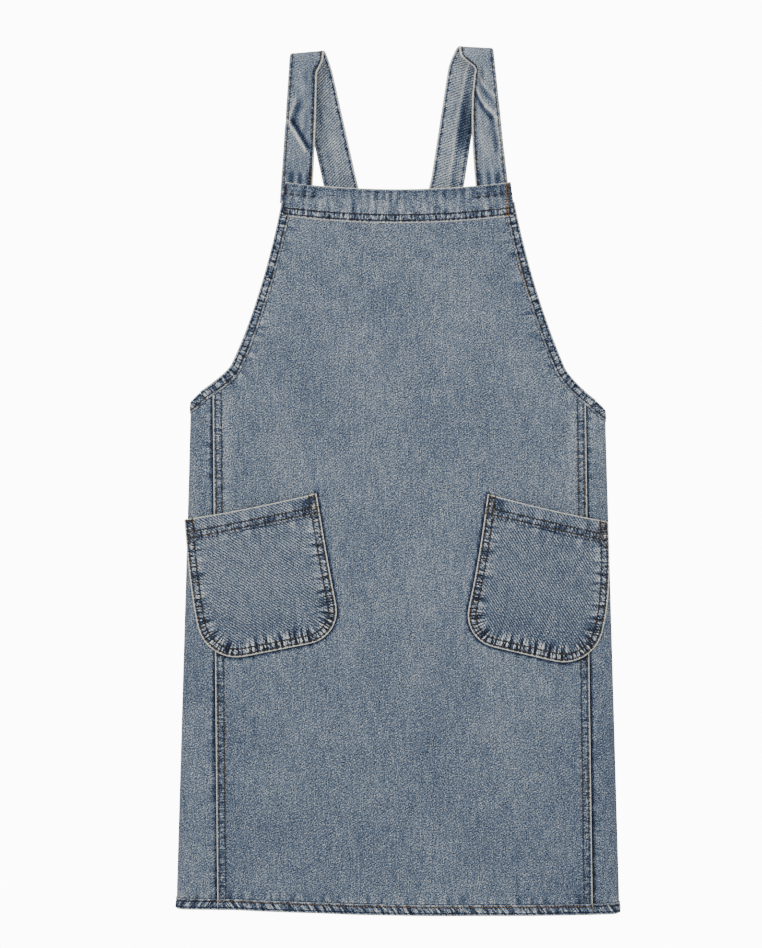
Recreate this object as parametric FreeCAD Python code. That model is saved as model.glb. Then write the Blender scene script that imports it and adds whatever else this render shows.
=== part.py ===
"""A cross-back denim apron, hanging from its two shoulder straps.

The origin is on the axis of the bar that the straps hang from, above the bib's middle.
+X is the viewer's right, -Y is the front that the viewer sees, and +Z is up. Left and
right are the viewer's. Every cloth ply is a flat slab in the XZ plane at its own depth Y,
and each piece of cloth, turned hem and row of thread is one node. All sizes are in
millimetres.
"""

import FreeCAD
import Part
import math
import os

# ---- Cloth and thread ----
CLOTH = 1.0            # one ply of denim
PLY_GAP = 0.1          # air between plies that lie on each other
STRAP_THICK = 2.2      # two plies and the seam inside
THREAD_WIDE = 0.8
THREAD_PROUD = 0.3     # a row of topstitch stands this far out of the cloth
NEEDLE_GAUGE = 6.4     # between the two rows of a double topstitch
EDGE_MARGIN = 1.7      # from a folded edge to the first row beside it

# ---- Front body ----
BIB_HALF = 124.0       # half the width of the bib's top edge
BIB_Z = -138.0         # height of the bib's two top corners
BIB_SAG = 8.0          # the top edge hangs this much lower in the middle
BAND_HIGH = 37.0       # the band along the bib's top
BAND_TUCK = 9.0        # the front panel goes this far up inside the band
END_ROWS_DOWN = 9.6    # from the bib's top edge to the rows at the band's two ends
KINK_HALF = 184.0      # the armhole curve ends here, in a corner
KINK_Z = -344.0
ARMHOLE_BOW = 6.4      # how far the armhole curve is hollowed
CORNER_HALF = 228.0    # the armhole's lowest corner, on the side fold
CORNER_Z = -384.0
SEAM_HALF = 204.0      # the lapped seam between front and side panels
SEAM_LAP = 9.0         # the front panel lies this far over the side panel
SEAM_CLEARANCE = 1.0   # between the seam's rows and the rows along the armhole
HEM_HALF = 244.0       # half the width at the hem
HEM_Z = -937.0
HEM_HIGH = 13.0        # the turned hem at the bottom
EDGE_HEM = 11.0        # the turned hem along armholes and back edges
HEM_THICK = 1.8        # a hem's two turned plies

# ---- Back panels ----
BODY_GAP = 17.0        # between the front side panel and the back panel, for the wearer
BACK_TOP_Z = -500.0    # the level stretch of the back panels' top edges
BACK_DROP = 106.0      # the top edge comes down this much from the side
BACK_TOP_SLOPE = 58.0  # degrees, at the side
CENTRE_GAP = 6.0       # between the two back panels
FOLD_CLEARANCE = 0.6   # between the side fold and the back panel that swings from it

# ---- Straps ----
STRAP_WIDE = 36.0
# From the middle to each strap's centreline at the bib, and at the shoulder fold.
STRAP_FOOT = {"left": 108.0, "right": 100.0}
STRAP_TOP = {"left": 99.0, "right": 85.0}
STRAP_END = 27.0       # past the middle, where each strap lies on the far back panel
STRAP_END_Z = -520.0
LOOP_RADIUS = 6.5      # inside the shoulder fold, where the hanger goes
CROSS_STEP = 2.5       # the right strap passes this far in front of the left one
HINGE_GAP = 1.0        # between two lengths of strap that swing apart
SPLIT_GAP = 2.0        # between the upper and lower length of a back strap
TAB_LONG = 26.0        # the strap's end, inside the band
BACK_TAB_LONG = 40.0   # the strap's end on the back panel
TAB_BOX_MARGIN = 5.0   # from the end's edges to the box of thread that holds it

# ---- Pockets ----
POCKET_WIDE = 148.5
POCKET_HIGH = 164.0
POCKET_CORNER = 52.0   # radius of the two bottom corners
POCKET_BELLY = 5.0     # the bottom edge is rounded by this much between them
POCKET_DEEP = 6.5      # the pouch stands open this far
POCKET_HEM = 22.0
POCKET_HEM_THICK = 1.0
POCKET_WALL = 1.2
POCKET_CLEARANCE = 0.5
BARTACK_LONG = 9.0
BARTACK_WIDE = 2.0
# The middle of each pocket's mouth, and how its mouth slopes, in degrees.
POCKETS = {"left": (-160.4, -491.4, 11.1), "right": (172.0, -494.4, -13.1)}

# ---- Depths, from the front leg of the straps, whose inner face the hanger touches ----
STRAP_IN_Y = -LOOP_RADIUS
STRAP_Y = STRAP_IN_Y - STRAP_THICK
BAND_Y = STRAP_Y - PLY_GAP - CLOTH
PANEL_Y = STRAP_Y
FACING_Y = STRAP_IN_Y + PLY_GAP
SIDE_Y = PANEL_Y + CLOTH
BACK_STRAP_Y = LOOP_RADIUS
BACK_Y = SIDE_Y + CLOTH + BODY_GAP
BACK_HEM_Y = BACK_Y - CLOTH
BACK_TAB_Y = BACK_HEM_Y - PLY_GAP - STRAP_THICK
POCKET_BACK_Y = PANEL_Y - POCKET_CLEARANCE
POCKET_Y = POCKET_BACK_Y - POCKET_DEEP - CLOTH
FOLD_RADIUS = (BACK_Y + CLOTH - SIDE_Y) / 2
SEAM_ROWS_WIDE = EDGE_MARGIN + NEEDLE_GAUGE + THREAD_WIDE
ABOVE_BIB = -BIB_SAG * 10

FAR = 400.0            # past the object on every side
SIDES = {"left": -1, "right": 1}


def at(x, z, y=0.0):
    return FreeCAD.Vector(x, y, z)


def line(a, b):
    return Part.makeLine(at(*a), at(*b))


def arc(a, middle, b):
    return Part.Arc(at(*a), at(*middle), at(*b)).toShape()


def face(edges):
    return Part.Face(Part.Wire(edges))


def polygon(points):
    corners = [at(*p) for p in points]
    return Part.Face(Part.makePolygon(corners + corners[:1]))


def box_face(x0, x1, z0, z1):
    return polygon([(x0, z0), (x1, z0), (x1, z1), (x0, z1)])


def inset(flat, by):
    return flat.makeOffset2D(-by)


def slab(flat, y, thick):
    """A face of the XZ plane as a ply whose front is at depth y."""
    solid = flat.extrude(FreeCAD.Vector(0, thick, 0))
    solid.translate(FreeCAD.Vector(0, y, 0))
    return solid


def thread_on(flat, y):
    """Rows of thread that stand out of the cloth face at depth y, towards the front."""
    return slab(flat, y - THREAD_PROUD, THREAD_PROUD)


def joined(faces):
    """Faces of one plane as one shape, with the lines between them taken out."""
    whole = faces[0]
    for other_face in faces[1:]:
        whole = whole.fuse(other_face)
    return whole.removeSplitter()


def half_plane(side, from_x, z0, z1):
    """The box on one side of the garment, past a distance from its middle."""
    x0, x1 = sorted((SIDES[side] * from_x, SIDES[side] * FAR))
    return box_face(x0, x1, z0, z1)


def mirrored(side, points):
    return [(SIDES[side] * x, z) for x, z in points]


def sag_z(x, drop):
    """Height of the bib's hanging top edge at x, or of a line this far below it."""
    radius = (BIB_HALF ** 2 + BIB_SAG ** 2) / (2 * BIB_SAG)
    return BIB_Z - BIB_SAG - drop + radius - math.sqrt(radius ** 2 - x ** 2)


def sag_strip(top, bottom):
    """The strip between two lines that far below the bib's top edge."""
    upper = [(x, sag_z(x, top)) for x in (-FAR, 0, FAR)]
    lower = [(x, sag_z(x, bottom)) for x in (FAR, 0, -FAR)]
    return face([arc(*upper), line(upper[2], lower[0]), arc(*lower), line(lower[2], upper[0])])


def slant_z(x):
    """Height of the armhole's straight lower stretch, at a distance x from the middle."""
    slope = (CORNER_Z - KINK_Z) / (CORNER_HALF - KINK_HALF)
    return KINK_Z + slope * (x - KINK_HALF)


def fold_x(z):
    """Distance from the middle to the side fold, which flares from armhole to hem."""
    return CORNER_HALF + (HEM_HALF - CORNER_HALF) * (z - CORNER_Z) / (HEM_Z - CORNER_Z)


def armhole_middle():
    """The middle point of the armhole curve, hollowed towards the middle of the bib."""
    chord = (KINK_HALF - BIB_HALF, KINK_Z - BIB_Z)
    length = math.hypot(*chord)
    x = (BIB_HALF + KINK_HALF) / 2 + ARMHOLE_BOW * chord[1] / length
    z = (BIB_Z + KINK_Z) / 2 - ARMHOLE_BOW * chord[0] / length
    return (x, z)


def front_outline():
    """The front panel with the band's area, from the bib's top edge to the hem."""
    bib, kink = (BIB_HALF, BIB_Z), (KINK_HALF, KINK_Z)
    seam, hem = (SEAM_HALF, slant_z(SEAM_HALF)), (SEAM_HALF, HEM_Z)
    right = [bib, armhole_middle(), kink, seam, hem]
    left = mirrored("left", right)
    return face([
        arc(left[0], (0, BIB_Z - BIB_SAG), right[0]), arc(*right[:3]),
        line(right[2], right[3]), line(right[3], right[4]), line(right[4], left[4]),
        line(left[4], left[3]), line(left[3], left[2]), arc(left[2], left[1], left[0]),
    ])


def armhole_strip(side, near, far):
    """The strip along an armhole's edge between two distances from it."""
    outline = front_outline()
    outer = inset(outline, near) if near else outline
    beside = half_plane(side, 0, slant_z(SEAM_HALF), sag_z(BIB_HALF, BAND_HIGH))
    seam = half_plane(side, SEAM_HALF - SEAM_ROWS_WIDE, HEM_Z, slant_z(SEAM_HALF) - SEAM_CLEARANCE)
    strip = outer.cut(inset(outline, far)).common(beside)
    return strip.cut(sag_strip(ABOVE_BIB, BAND_HIGH)).cut(seam)


# ---- Front panel, band and facing ----

def front_parts():
    outline = front_outline()
    band = outline.common(sag_strip(ABOVE_BIB, BAND_HIGH))
    panel = outline.cut(sag_strip(ABOVE_BIB, BAND_HIGH - BAND_TUCK))
    parts = {
        "bib_band_outer": slab(band, BAND_Y, CLOTH),
        "bib_band_facing": slab(band, FACING_Y, CLOTH),
        "front_panel": slab(panel, PANEL_Y, CLOTH),
        "front_hem": slab(
            box_face(-SEAM_HALF + SEAM_LAP, SEAM_HALF - SEAM_LAP, HEM_Z, HEM_Z + HEM_HIGH),
            PANEL_Y + CLOTH, HEM_THICK),
    }
    for side in SIDES:
        lap = half_plane(side, SEAM_HALF - SEAM_LAP, 2 * HEM_Z, 0)
        strip = armhole_strip(side, 0, EDGE_HEM).cut(lap)
        parts[side + "_armhole_hem"] = slab(strip, PANEL_Y + CLOTH, HEM_THICK)
    return parts


def band_threads():
    """Two rows along the band's lower edge, and one at each of its ends."""
    band = inset(front_outline(), EDGE_MARGIN)
    lower = BAND_HIGH - EDGE_MARGIN
    rows = [band.common(sag_strip(down - THREAD_WIDE, down)) for down in (lower, lower - NEEDLE_GAUGE)]
    ends = inset(front_outline(), NEEDLE_GAUGE).cut(inset(front_outline(), NEEDLE_GAUGE + THREAD_WIDE))
    rows.append(ends.common(sag_strip(END_ROWS_DOWN, lower)))
    return thread_on(joined(rows), BAND_Y)


def front_threads():
    hem_row = HEM_Z + HEM_HIGH - EDGE_MARGIN
    parts = {"bib_band_topstitch": band_threads()}
    for side, sign in SIDES.items():
        rows = []
        for far in (EDGE_MARGIN, EDGE_MARGIN + NEEDLE_GAUGE):
            outer = SEAM_HALF - far
            x0, x1 = sorted((sign * outer, sign * (outer - THREAD_WIDE)))
            rows.append(box_face(x0, x1, hem_row + 2 * THREAD_WIDE, slant_z(outer) - EDGE_HEM))
        parts[side + "_seam_topstitch"] = thread_on(Part.makeCompound(rows), PANEL_Y)
        row = armhole_strip(side, EDGE_HEM - EDGE_MARGIN, EDGE_HEM - EDGE_MARGIN + THREAD_WIDE)
        parts[side + "_armhole_topstitch"] = thread_on(row, PANEL_Y)
    middle = SEAM_HALF - EDGE_MARGIN
    rows = [thread_on(box_face(-middle, middle, hem_row, hem_row + THREAD_WIDE), PANEL_Y)]
    for sign in SIDES.values():
        x0, x1 = sorted((sign * (SEAM_HALF + EDGE_MARGIN), sign * (fold_x(hem_row) - FOLD_RADIUS)))
        rows.append(thread_on(box_face(x0, x1, hem_row, hem_row + THREAD_WIDE), SIDE_Y))
    parts["front_hem_topstitch"] = Part.makeCompound(rows)
    return parts


# ---- Side panels: one cut of cloth each, from the lapped seam round the fold to the back ----

def side_parts(side):
    sign = SIDES[side]
    inner = SEAM_HALF - SEAM_LAP
    top = fold_x(CORNER_Z) - FOLD_RADIUS
    foot = fold_x(HEM_Z) - FOLD_RADIUS
    strip = polygon(mirrored(side, [
        (inner, slant_z(inner)), (top, slant_z(top)), (top, CORNER_Z), (foot, HEM_Z), (inner, HEM_Z)]))
    centre_y = SIDE_Y + FOLD_RADIUS
    along = FreeCAD.Vector(sign * (foot - top), 0, HEM_Z - CORNER_Z)

    def half_round(radius):
        return Part.Arc(
            FreeCAD.Vector(sign * top, centre_y - radius, CORNER_Z),
            FreeCAD.Vector(sign * (top + radius), centre_y, CORNER_Z),
            FreeCAD.Vector(sign * top, centre_y + radius, CORNER_Z)).toShape()

    outer, hollow = half_round(FOLD_RADIUS), half_round(FOLD_RADIUS - CLOTH)
    ends = [Part.makeLine(outer.Vertexes[k].Point, hollow.Vertexes[k].Point) for k in (0, 1)]
    fold = Part.Face(Part.Wire(Part.__sortEdges__([outer, hollow] + ends))).extrude(along)
    return {
        side + "_side_front": slab(strip, SIDE_Y, CLOTH),
        side + "_side_fold": fold,
        side + "_side_hem": slab(side_hem_face(side), SIDE_Y + CLOTH, HEM_THICK),
    }


def side_hem_face(side):
    """The hem turned up behind the foot of the side panel's front strip."""
    inner, outer = SEAM_HALF - SEAM_LAP, fold_x(HEM_Z + HEM_HIGH) - FOLD_RADIUS
    return box_face(*sorted(SIDES[side] * x for x in (inner, outer)), HEM_Z, HEM_Z + HEM_HIGH)


def back_outline(side):
    """A back panel, from the side fold to the opening down the middle of the back."""
    radius = BACK_DROP / (1 - math.cos(math.radians(BACK_TOP_SLOPE)))
    top_z = BACK_TOP_Z + BACK_DROP
    outer = fold_x(CORNER_Z) - FOLD_RADIUS - FOLD_CLEARANCE
    foot = fold_x(HEM_Z) - FOLD_RADIUS - FOLD_CLEARANCE
    level = outer - radius * math.sin(math.radians(BACK_TOP_SLOPE))
    half = math.radians(BACK_TOP_SLOPE / 2)
    bend = (level + radius * math.sin(half), BACK_TOP_Z + radius * (1 - math.cos(half)))
    edge = CENTRE_GAP / 2
    p = mirrored(side, [
        (outer, top_z), bend, (level, BACK_TOP_Z), (edge, BACK_TOP_Z), (edge, HEM_Z), (foot, HEM_Z)])
    return face([arc(*p[:3]), line(p[2], p[3]), line(p[3], p[4]), line(p[4], p[5]), line(p[5], p[0])])


def side_margin(side, wide):
    """The strip beside the side fold, where the back panel has no hem."""
    top, foot = fold_x(CORNER_Z) - FOLD_RADIUS, fold_x(HEM_Z) - FOLD_RADIUS
    rise = (foot - top) / (CORNER_Z - HEM_Z) * FAR
    return polygon(mirrored(side, [
        (top - wide - rise, CORNER_Z + FAR), (FAR * 2, CORNER_Z + FAR),
        (FAR * 2, HEM_Z - FAR), (foot - wide + rise, HEM_Z - FAR)]))


def back_edges(side, near, far):
    """The strip along a back panel's top, middle and bottom edges between two distances."""
    outline = back_outline(side)
    outer = inset(outline, near) if near else outline
    return outer.cut(inset(outline, far)).cut(side_margin(side, far))


def back_parts(side):
    level = (BACK_TOP_Z - EDGE_HEM, HEM_Z + HEM_HIGH)
    ring = back_edges(side, 0, EDGE_HEM)
    top = ring.common(box_face(-FAR, FAR, level[0], 0))
    middle = ring.common(box_face(-FAR, FAR, level[1], level[0]))
    outline = back_outline(side)
    foot = outline.common(box_face(-FAR, FAR, HEM_Z, level[1])).cut(side_margin(side, EDGE_HEM))
    row = EDGE_HEM - EDGE_MARGIN
    tab = back_strap_face(other(side), BACK_TOP_Z, BACK_TOP_Z - BACK_TAB_LONG)
    threads = back_edges(side, row, row + THREAD_WIDE).cut(tab)
    return {
        side + "_back_panel": slab(outline, BACK_Y, CLOTH),
        side + "_back_top_hem": slab(top, BACK_HEM_Y, CLOTH),
        side + "_back_edge_hem": slab(middle, BACK_HEM_Y, CLOTH),
        side + "_back_bottom_hem": slab(foot, BACK_HEM_Y, CLOTH),
        side + "_back_topstitch": Part.makeCompound(
            [thread_on(threads, BACK_HEM_Y), thread_on(tab_threads(side), BACK_TAB_Y)]),
    }


# ---- Straps ----

def back_lean(side):
    """How far a back strap moves towards the middle and past it, for each unit of height."""
    return (STRAP_TOP[side] + STRAP_END) / -STRAP_END_Z


def back_strap_x(side, z):
    """Distance from the middle of a back strap's centreline, negative past the middle."""
    return STRAP_TOP[side] + back_lean(side) * z


def back_strap_face(side, top, foot):
    """A length of back strap, cut level at two heights."""
    half = STRAP_WIDE / 2 * math.hypot(1, back_lean(side))
    at_top, at_foot = back_strap_x(side, top), back_strap_x(side, foot)
    return polygon(mirrored(side, [
        (at_top - half, top), (at_top + half, top), (at_foot + half, foot), (at_foot - half, foot)]))


def other(side):
    return "right" if side == "left" else "left"


def tab_threads(side):
    """The box of thread that holds the far strap's end to this back panel."""
    whole = back_strap_face(other(side), BACK_TOP_Z - EDGE_HEM, BACK_TOP_Z - BACK_TAB_LONG)
    return inset(whole, TAB_BOX_MARGIN).cut(inset(whole, TAB_BOX_MARGIN + THREAD_WIDE))


def fold_tilt(side):
    """The shoulder fold's slope in radians: half of how far the two legs differ."""
    front = math.atan((STRAP_FOOT[side] - STRAP_TOP[side]) / -BIB_Z)
    return (math.atan(back_lean(side)) - front) / 2


def fold_ends(side):
    """The two ends of the fold's axis, at the strap's outer and inner edges."""
    tilt = fold_tilt(side)
    reach = STRAP_WIDE / 2
    low = (STRAP_TOP[side] + reach * math.cos(tilt), -reach * math.sin(tilt))
    high = (STRAP_TOP[side] - reach * math.cos(tilt), reach * math.sin(tilt))
    return mirrored(side, [low, high])


def leg_face(side, foot_x, foot_z, margin):
    """A leg of strap from the fold to its foot, less a margin at each edge."""
    low, high = fold_ends(side)
    share = margin / STRAP_WIDE
    outer = [a + (b - a) * share for a, b in zip(low, high)]
    inner = [b + (a - b) * share for a, b in zip(low, high)]
    half = STRAP_WIDE / 2 - margin
    foot = mirrored(side, [(foot_x - half, foot_z), (foot_x + half, foot_z)])
    return polygon([outer, inner] + foot)


def front_leg_face(side, margin=0.0):
    return leg_face(side, STRAP_FOOT[side], BIB_Z + HINGE_GAP, margin)


def back_leg_face(side, margin=0.0):
    foot = BIB_Z + SPLIT_GAP / 2
    return leg_face(side, back_strap_x(side, foot), foot, margin)


def edge_rows(whole_at, side):
    """Rows of thread along the edges of a leg of strap."""
    return whole_at(side, 2 * EDGE_MARGIN).cut(whole_at(side, 2 * EDGE_MARGIN + THREAD_WIDE))


def strap_parts(side):
    sign = SIDES[side]
    low, high = fold_ends(side)
    along = at(*high) - at(*low)
    up = FreeCAD.Vector(0, 1, 0).cross(along).normalize()
    if up.z < 0:
        up = up * -1

    def half_ring(radius):
        middle = at(*low)
        y = FreeCAD.Vector(0, radius, 0)
        return Part.Arc(middle - y, middle + up * radius, middle + y).toShape()

    inside, outside = half_ring(LOOP_RADIUS), half_ring(LOOP_RADIUS + STRAP_THICK)
    ends = [Part.makeLine(inside.Vertexes[k].Point, outside.Vertexes[k].Point) for k in (0, 1)]
    shoulder = Part.Face(Part.Wire(Part.__sortEdges__([inside, outside] + ends))).extrude(along)
    lower_y = BACK_STRAP_Y - (CROSS_STEP if sign > 0 else 0)
    tab_top = BIB_Z - HINGE_GAP / 2
    near, far = STRAP_FOOT[side] - STRAP_WIDE / 2, STRAP_FOOT[side] + STRAP_WIDE / 2
    tab = polygon(mirrored(side, [
        (near, tab_top - BIB_SAG / 2), (far, tab_top), (far, tab_top - TAB_LONG), (near, tab_top - TAB_LONG)]))
    lower = back_strap_face(side, BIB_Z - SPLIT_GAP / 2, BACK_TOP_Z + HINGE_GAP)
    end = back_strap_face(side, BACK_TOP_Z, BACK_TOP_Z - BACK_TAB_LONG)
    front_rows = thread_on(edge_rows(front_leg_face, side), STRAP_Y)
    back_rows = slab(edge_rows(back_leg_face, side), BACK_STRAP_Y + STRAP_THICK, THREAD_PROUD)
    return {
        side + "_strap_front": slab(front_leg_face(side), STRAP_Y, STRAP_THICK),
        side + "_strap_shoulder": shoulder,
        side + "_strap_back_upper": slab(back_leg_face(side), BACK_STRAP_Y, STRAP_THICK),
        side + "_strap_back_lower": slab(lower, lower_y, STRAP_THICK),
        side + "_strap_front_tab": slab(tab, STRAP_Y, STRAP_THICK),
        side + "_strap_back_tab": slab(end, BACK_TAB_Y, STRAP_THICK),
        side + "_strap_topstitch": Part.makeCompound([front_rows, back_rows]),
    }


# ---- Pockets ----

def on_pocket(side, shape):
    """A face drawn with the mouth's middle at the origin, moved to its pocket."""
    x, z, slope = POCKETS[side]
    shape.rotate(at(0, 0), FreeCAD.Vector(0, -1, 0), slope)
    shape.translate(at(x, z))
    return shape


def garment_face():
    """The whole front as seen, which no pocket reaches past."""
    points = [(CORNER_HALF, 0), (CORNER_HALF, CORNER_Z), (HEM_HALF, HEM_Z)]
    return polygon(points + mirrored("left", points)[::-1])


def pocket_face(side, raised=0.0):
    """The patch's outline, with its mouth raised by that much."""
    half, low = POCKET_WIDE / 2, -POCKET_HIGH
    r, base = POCKET_CORNER, low + POCKET_BELLY
    bend = r * (1 - math.sqrt(0.5))
    right = [(half, raised), (half, base + r), (half - bend, base + bend), (half - r, base)]
    left = mirrored("left", right)
    whole = face([
        line(left[0], right[0]), line(right[0], right[1]), arc(*right[1:]),
        arc(right[3], (0, low), left[3]), arc(left[3], left[2], left[1]), line(left[1], left[0])])
    return on_pocket(side, whole).common(garment_face()).Faces[0]


def pocket_parts(side):
    body = side + "_pocket"
    patch = pocket_face(side)
    hollow = inset(pocket_face(side, POCKET_HEM), POCKET_WALL)
    deep = POCKET_BACK_Y - POCKET_Y
    tray = slab(patch, POCKET_Y, deep).cut(slab(hollow, POCKET_Y + CLOTH, deep))
    mouth = on_pocket(side, box_face(-POCKET_WIDE, POCKET_WIDE, -POCKET_HEM, 0))
    hem = patch.common(inset(pocket_face(side, POCKET_HEM), POCKET_WALL + PLY_GAP)).common(mouth)
    second = EDGE_MARGIN + NEEDLE_GAUGE
    wide = 2 * POCKET_WIDE
    rows = [inset(patch, near).cut(inset(patch, near + THREAD_WIDE)) for near in (EDGE_MARGIN, second)]
    by_mouth = on_pocket(side, box_face(-wide, wide, -second - 2 * THREAD_WIDE, POCKET_HEM))
    rows = [row.cut(by_mouth) for row in rows]
    for down in (POCKET_HEM - EDGE_MARGIN, POCKET_HEM - second):
        row = on_pocket(side, box_face(-wide, wide, -down, -down + THREAD_WIDE))
        rows.append(inset(patch, EDGE_MARGIN).common(row))
    rows = joined(rows)
    tall = pocket_face(side, POCKET_HEM)
    tacks = []
    for end in (-1, 1):
        outer = end == SIDES[side]
        middle = EDGE_MARGIN + NEEDLE_GAUGE * (1.5 if outer else 0.5)
        strip = inset(tall, middle - BARTACK_WIDE / 2).cut(inset(tall, middle + BARTACK_WIDE / 2))
        level = box_face(*sorted((0, end * wide)), -EDGE_MARGIN - BARTACK_LONG, -EDGE_MARGIN)
        tacks.append(thread_on(strip.common(on_pocket(side, level)).cut(rows), POCKET_Y))
    return {
        body + "_patch": tray,
        body + "_hem": slab(hem, POCKET_Y + CLOTH, POCKET_HEM_THICK),
        body + "_topstitch": thread_on(rows, POCKET_Y),
        body + "_bartacks": Part.makeCompound(tacks),
    }


def build():
    parts = {}
    parts.update(front_parts())
    parts.update(front_threads())
    for side in SIDES:
        parts.update(side_parts(side))
        parts.update(back_parts(side))
        parts.update(strap_parts(side))
        parts.update(pocket_parts(side))
    return parts


def main():
    os.makedirs("parts", exist_ok=True)
    for name, shape in build().items():
        solids = shape.Solids
        whole = solids[0] if len(solids) == 1 else Part.makeCompound(solids)
        whole.exportStep("parts/" + name + ".step")
        box = whole.BoundBox
        print(f"{name:28s} solids {len(solids):2d} valid {whole.isValid()} volume {whole.Volume:9.1f} "
              f"x {box.XMin:7.1f} {box.XMax:7.1f} y {box.YMin:6.1f} {box.YMax:6.1f} "
              f"z {box.ZMin:7.1f} {box.ZMax:7.1f}")


main()
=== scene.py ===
"""A washed denim apron with crossed back straps, hanging from its two shoulder loops.

Lengths are millimetres in the part's own frame, turned to metres as each mesh is made:
+X is the viewer's right, -Y the front and +Z up. Left and right are the viewer's. Every
ply of cloth is a sheet with its own thickness, and panels, turned hems and rows of
stitches all lie on the same two gently hanging surfaces, the front one and the back one.
"""

import bpy
import math
import numpy as np
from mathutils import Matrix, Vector


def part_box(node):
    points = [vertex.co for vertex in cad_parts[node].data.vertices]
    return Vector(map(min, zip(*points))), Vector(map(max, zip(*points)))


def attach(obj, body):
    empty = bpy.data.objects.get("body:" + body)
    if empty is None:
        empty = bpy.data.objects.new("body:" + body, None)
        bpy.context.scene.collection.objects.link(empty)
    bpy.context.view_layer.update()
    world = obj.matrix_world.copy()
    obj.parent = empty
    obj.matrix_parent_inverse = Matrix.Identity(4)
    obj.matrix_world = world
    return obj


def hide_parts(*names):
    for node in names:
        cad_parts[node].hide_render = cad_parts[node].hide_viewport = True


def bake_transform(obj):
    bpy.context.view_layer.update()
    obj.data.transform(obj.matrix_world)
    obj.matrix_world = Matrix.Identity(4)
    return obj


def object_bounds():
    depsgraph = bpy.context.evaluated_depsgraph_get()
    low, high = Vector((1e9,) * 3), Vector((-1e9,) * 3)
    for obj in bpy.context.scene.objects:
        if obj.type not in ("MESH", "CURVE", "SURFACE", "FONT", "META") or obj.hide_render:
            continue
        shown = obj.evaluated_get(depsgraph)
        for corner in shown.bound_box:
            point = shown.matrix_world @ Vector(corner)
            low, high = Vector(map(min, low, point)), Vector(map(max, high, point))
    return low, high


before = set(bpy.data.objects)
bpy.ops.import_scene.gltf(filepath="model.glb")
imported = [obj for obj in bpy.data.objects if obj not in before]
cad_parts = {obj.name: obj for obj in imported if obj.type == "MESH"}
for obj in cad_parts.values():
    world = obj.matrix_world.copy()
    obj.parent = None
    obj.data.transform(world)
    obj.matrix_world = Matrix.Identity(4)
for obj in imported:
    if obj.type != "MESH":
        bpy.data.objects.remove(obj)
CAD_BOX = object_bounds()

MM = 0.001
SIDES = {"left": -1, "right": 1}
FAR_SIDE = {"left": "right", "right": "left"}


def span(node):
    """The lowest and highest corners of a node of the part at rest, in millimetres."""
    low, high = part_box(node)
    return np.array(low) / MM, np.array(high) / MM


BAND_LOW, BAND_TOP = span("bib_band_outer")
FACING_TOP = span("bib_band_facing")[1]
PANEL_LOW, PANEL_TOP = span("front_panel")
SIDE_LOW = span("right_side_front")[0]
FOLD_LOW, FOLD_TOP = span("right_side_fold")
BACK_LOW, BACK_TOP = span("right_back_panel")
LEG_LOW, LEG_TOP = span("right_strap_front")

# ---- Cloth ----
CLOTH = 1.0                 # one ply of washed twill
STRAP_THICK = 2.2           # two plies and the seam inside
STITCH_PITCH = 3.1
STITCH_LONG = 2.5
THREAD_WIDE = 1.05
NEEDLE_GAUGE = 6.4          # between the two rows of a twin-needle seam
EDGE_MARGIN = 2.6           # from an edge to the first row beside it
GRAIN = 2.4                 # spacing of the mesh along seams and hems

# ---- Front ----
HEM_Z = PANEL_LOW[2]
SEAM_X = PANEL_TOP[0]
# How far out each side seam hangs, at its top and its foot.
SEAM_DRIFT = {"left": (-0.8, -6.0), "right": (2.0, 9.5)}
FRONT_Y = PANEL_LOW[1]
BIB_Z = BAND_TOP[2]
BIB_HALF = 124.0
BIB_SAG = 8.0               # the bib's top edge hangs this much lower in the middle
BAND_TALL = BIB_Z - BIB_SAG - BAND_LOW[2]
KINK = (184.0, -344.0)      # where the armhole's long curve ends
CORNER = (228.0, FOLD_TOP[2])
LEFT_CORNER_RISE = 9.0      # the left underarm corner hangs this much higher
ARMHOLE_BOW = 6.4           # how far that curve is hollowed
UNDERARM_BOW = 3.2          # and the short slant under it
ARM_HEM = 11.0
BOTTOM_HEM = 12.0
HEM_TONE = 0.08             # turned hems are rubbed paler than the cloth beside them
BAND_STRAP_ROW = 12.5       # the row through each strap's end, below the bib's top edge
SEAM_LAP = 9.0              # the front panel lies this far over each side panel
SEAM_RISE = 0.9             # and stands this much higher there, on its turned edge
# ---- Side folds and back ----
FOLD_RADIUS = (BACK_TOP[1] - SIDE_LOW[1]) / 2
FOLD_TOP_X = FOLD_LOW[0]
FOLD_FOOT_X = FOLD_TOP[0] - FOLD_RADIUS
FOLD_Y = (BACK_TOP[1] + SIDE_LOW[1]) / 2
BACK_OPENING = BACK_LOW[0]
BACK_LEVEL_Z = -500.0       # the level stretch of the back panels' top edges
BACK_RISE = BACK_TOP[2] - BACK_LEVEL_Z
BACK_CURVE = 191.0          # the top edge's curved stretch, measured level
# ---- Straps ----
STRAP_WIDE = 36.0
STRAP_MID = (LEG_TOP[1] - LEG_LOW[1]) / 2 - LEG_TOP[1]
STRAP_FOOT = {"left": 108.0, "right": 100.0}
STRAP_TOP = {"left": 99.0, "right": 85.0}
STRAP_END = 27.0
STRAP_END_Z = -520.0
TAB_FOOT_Z = -540.0
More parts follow.
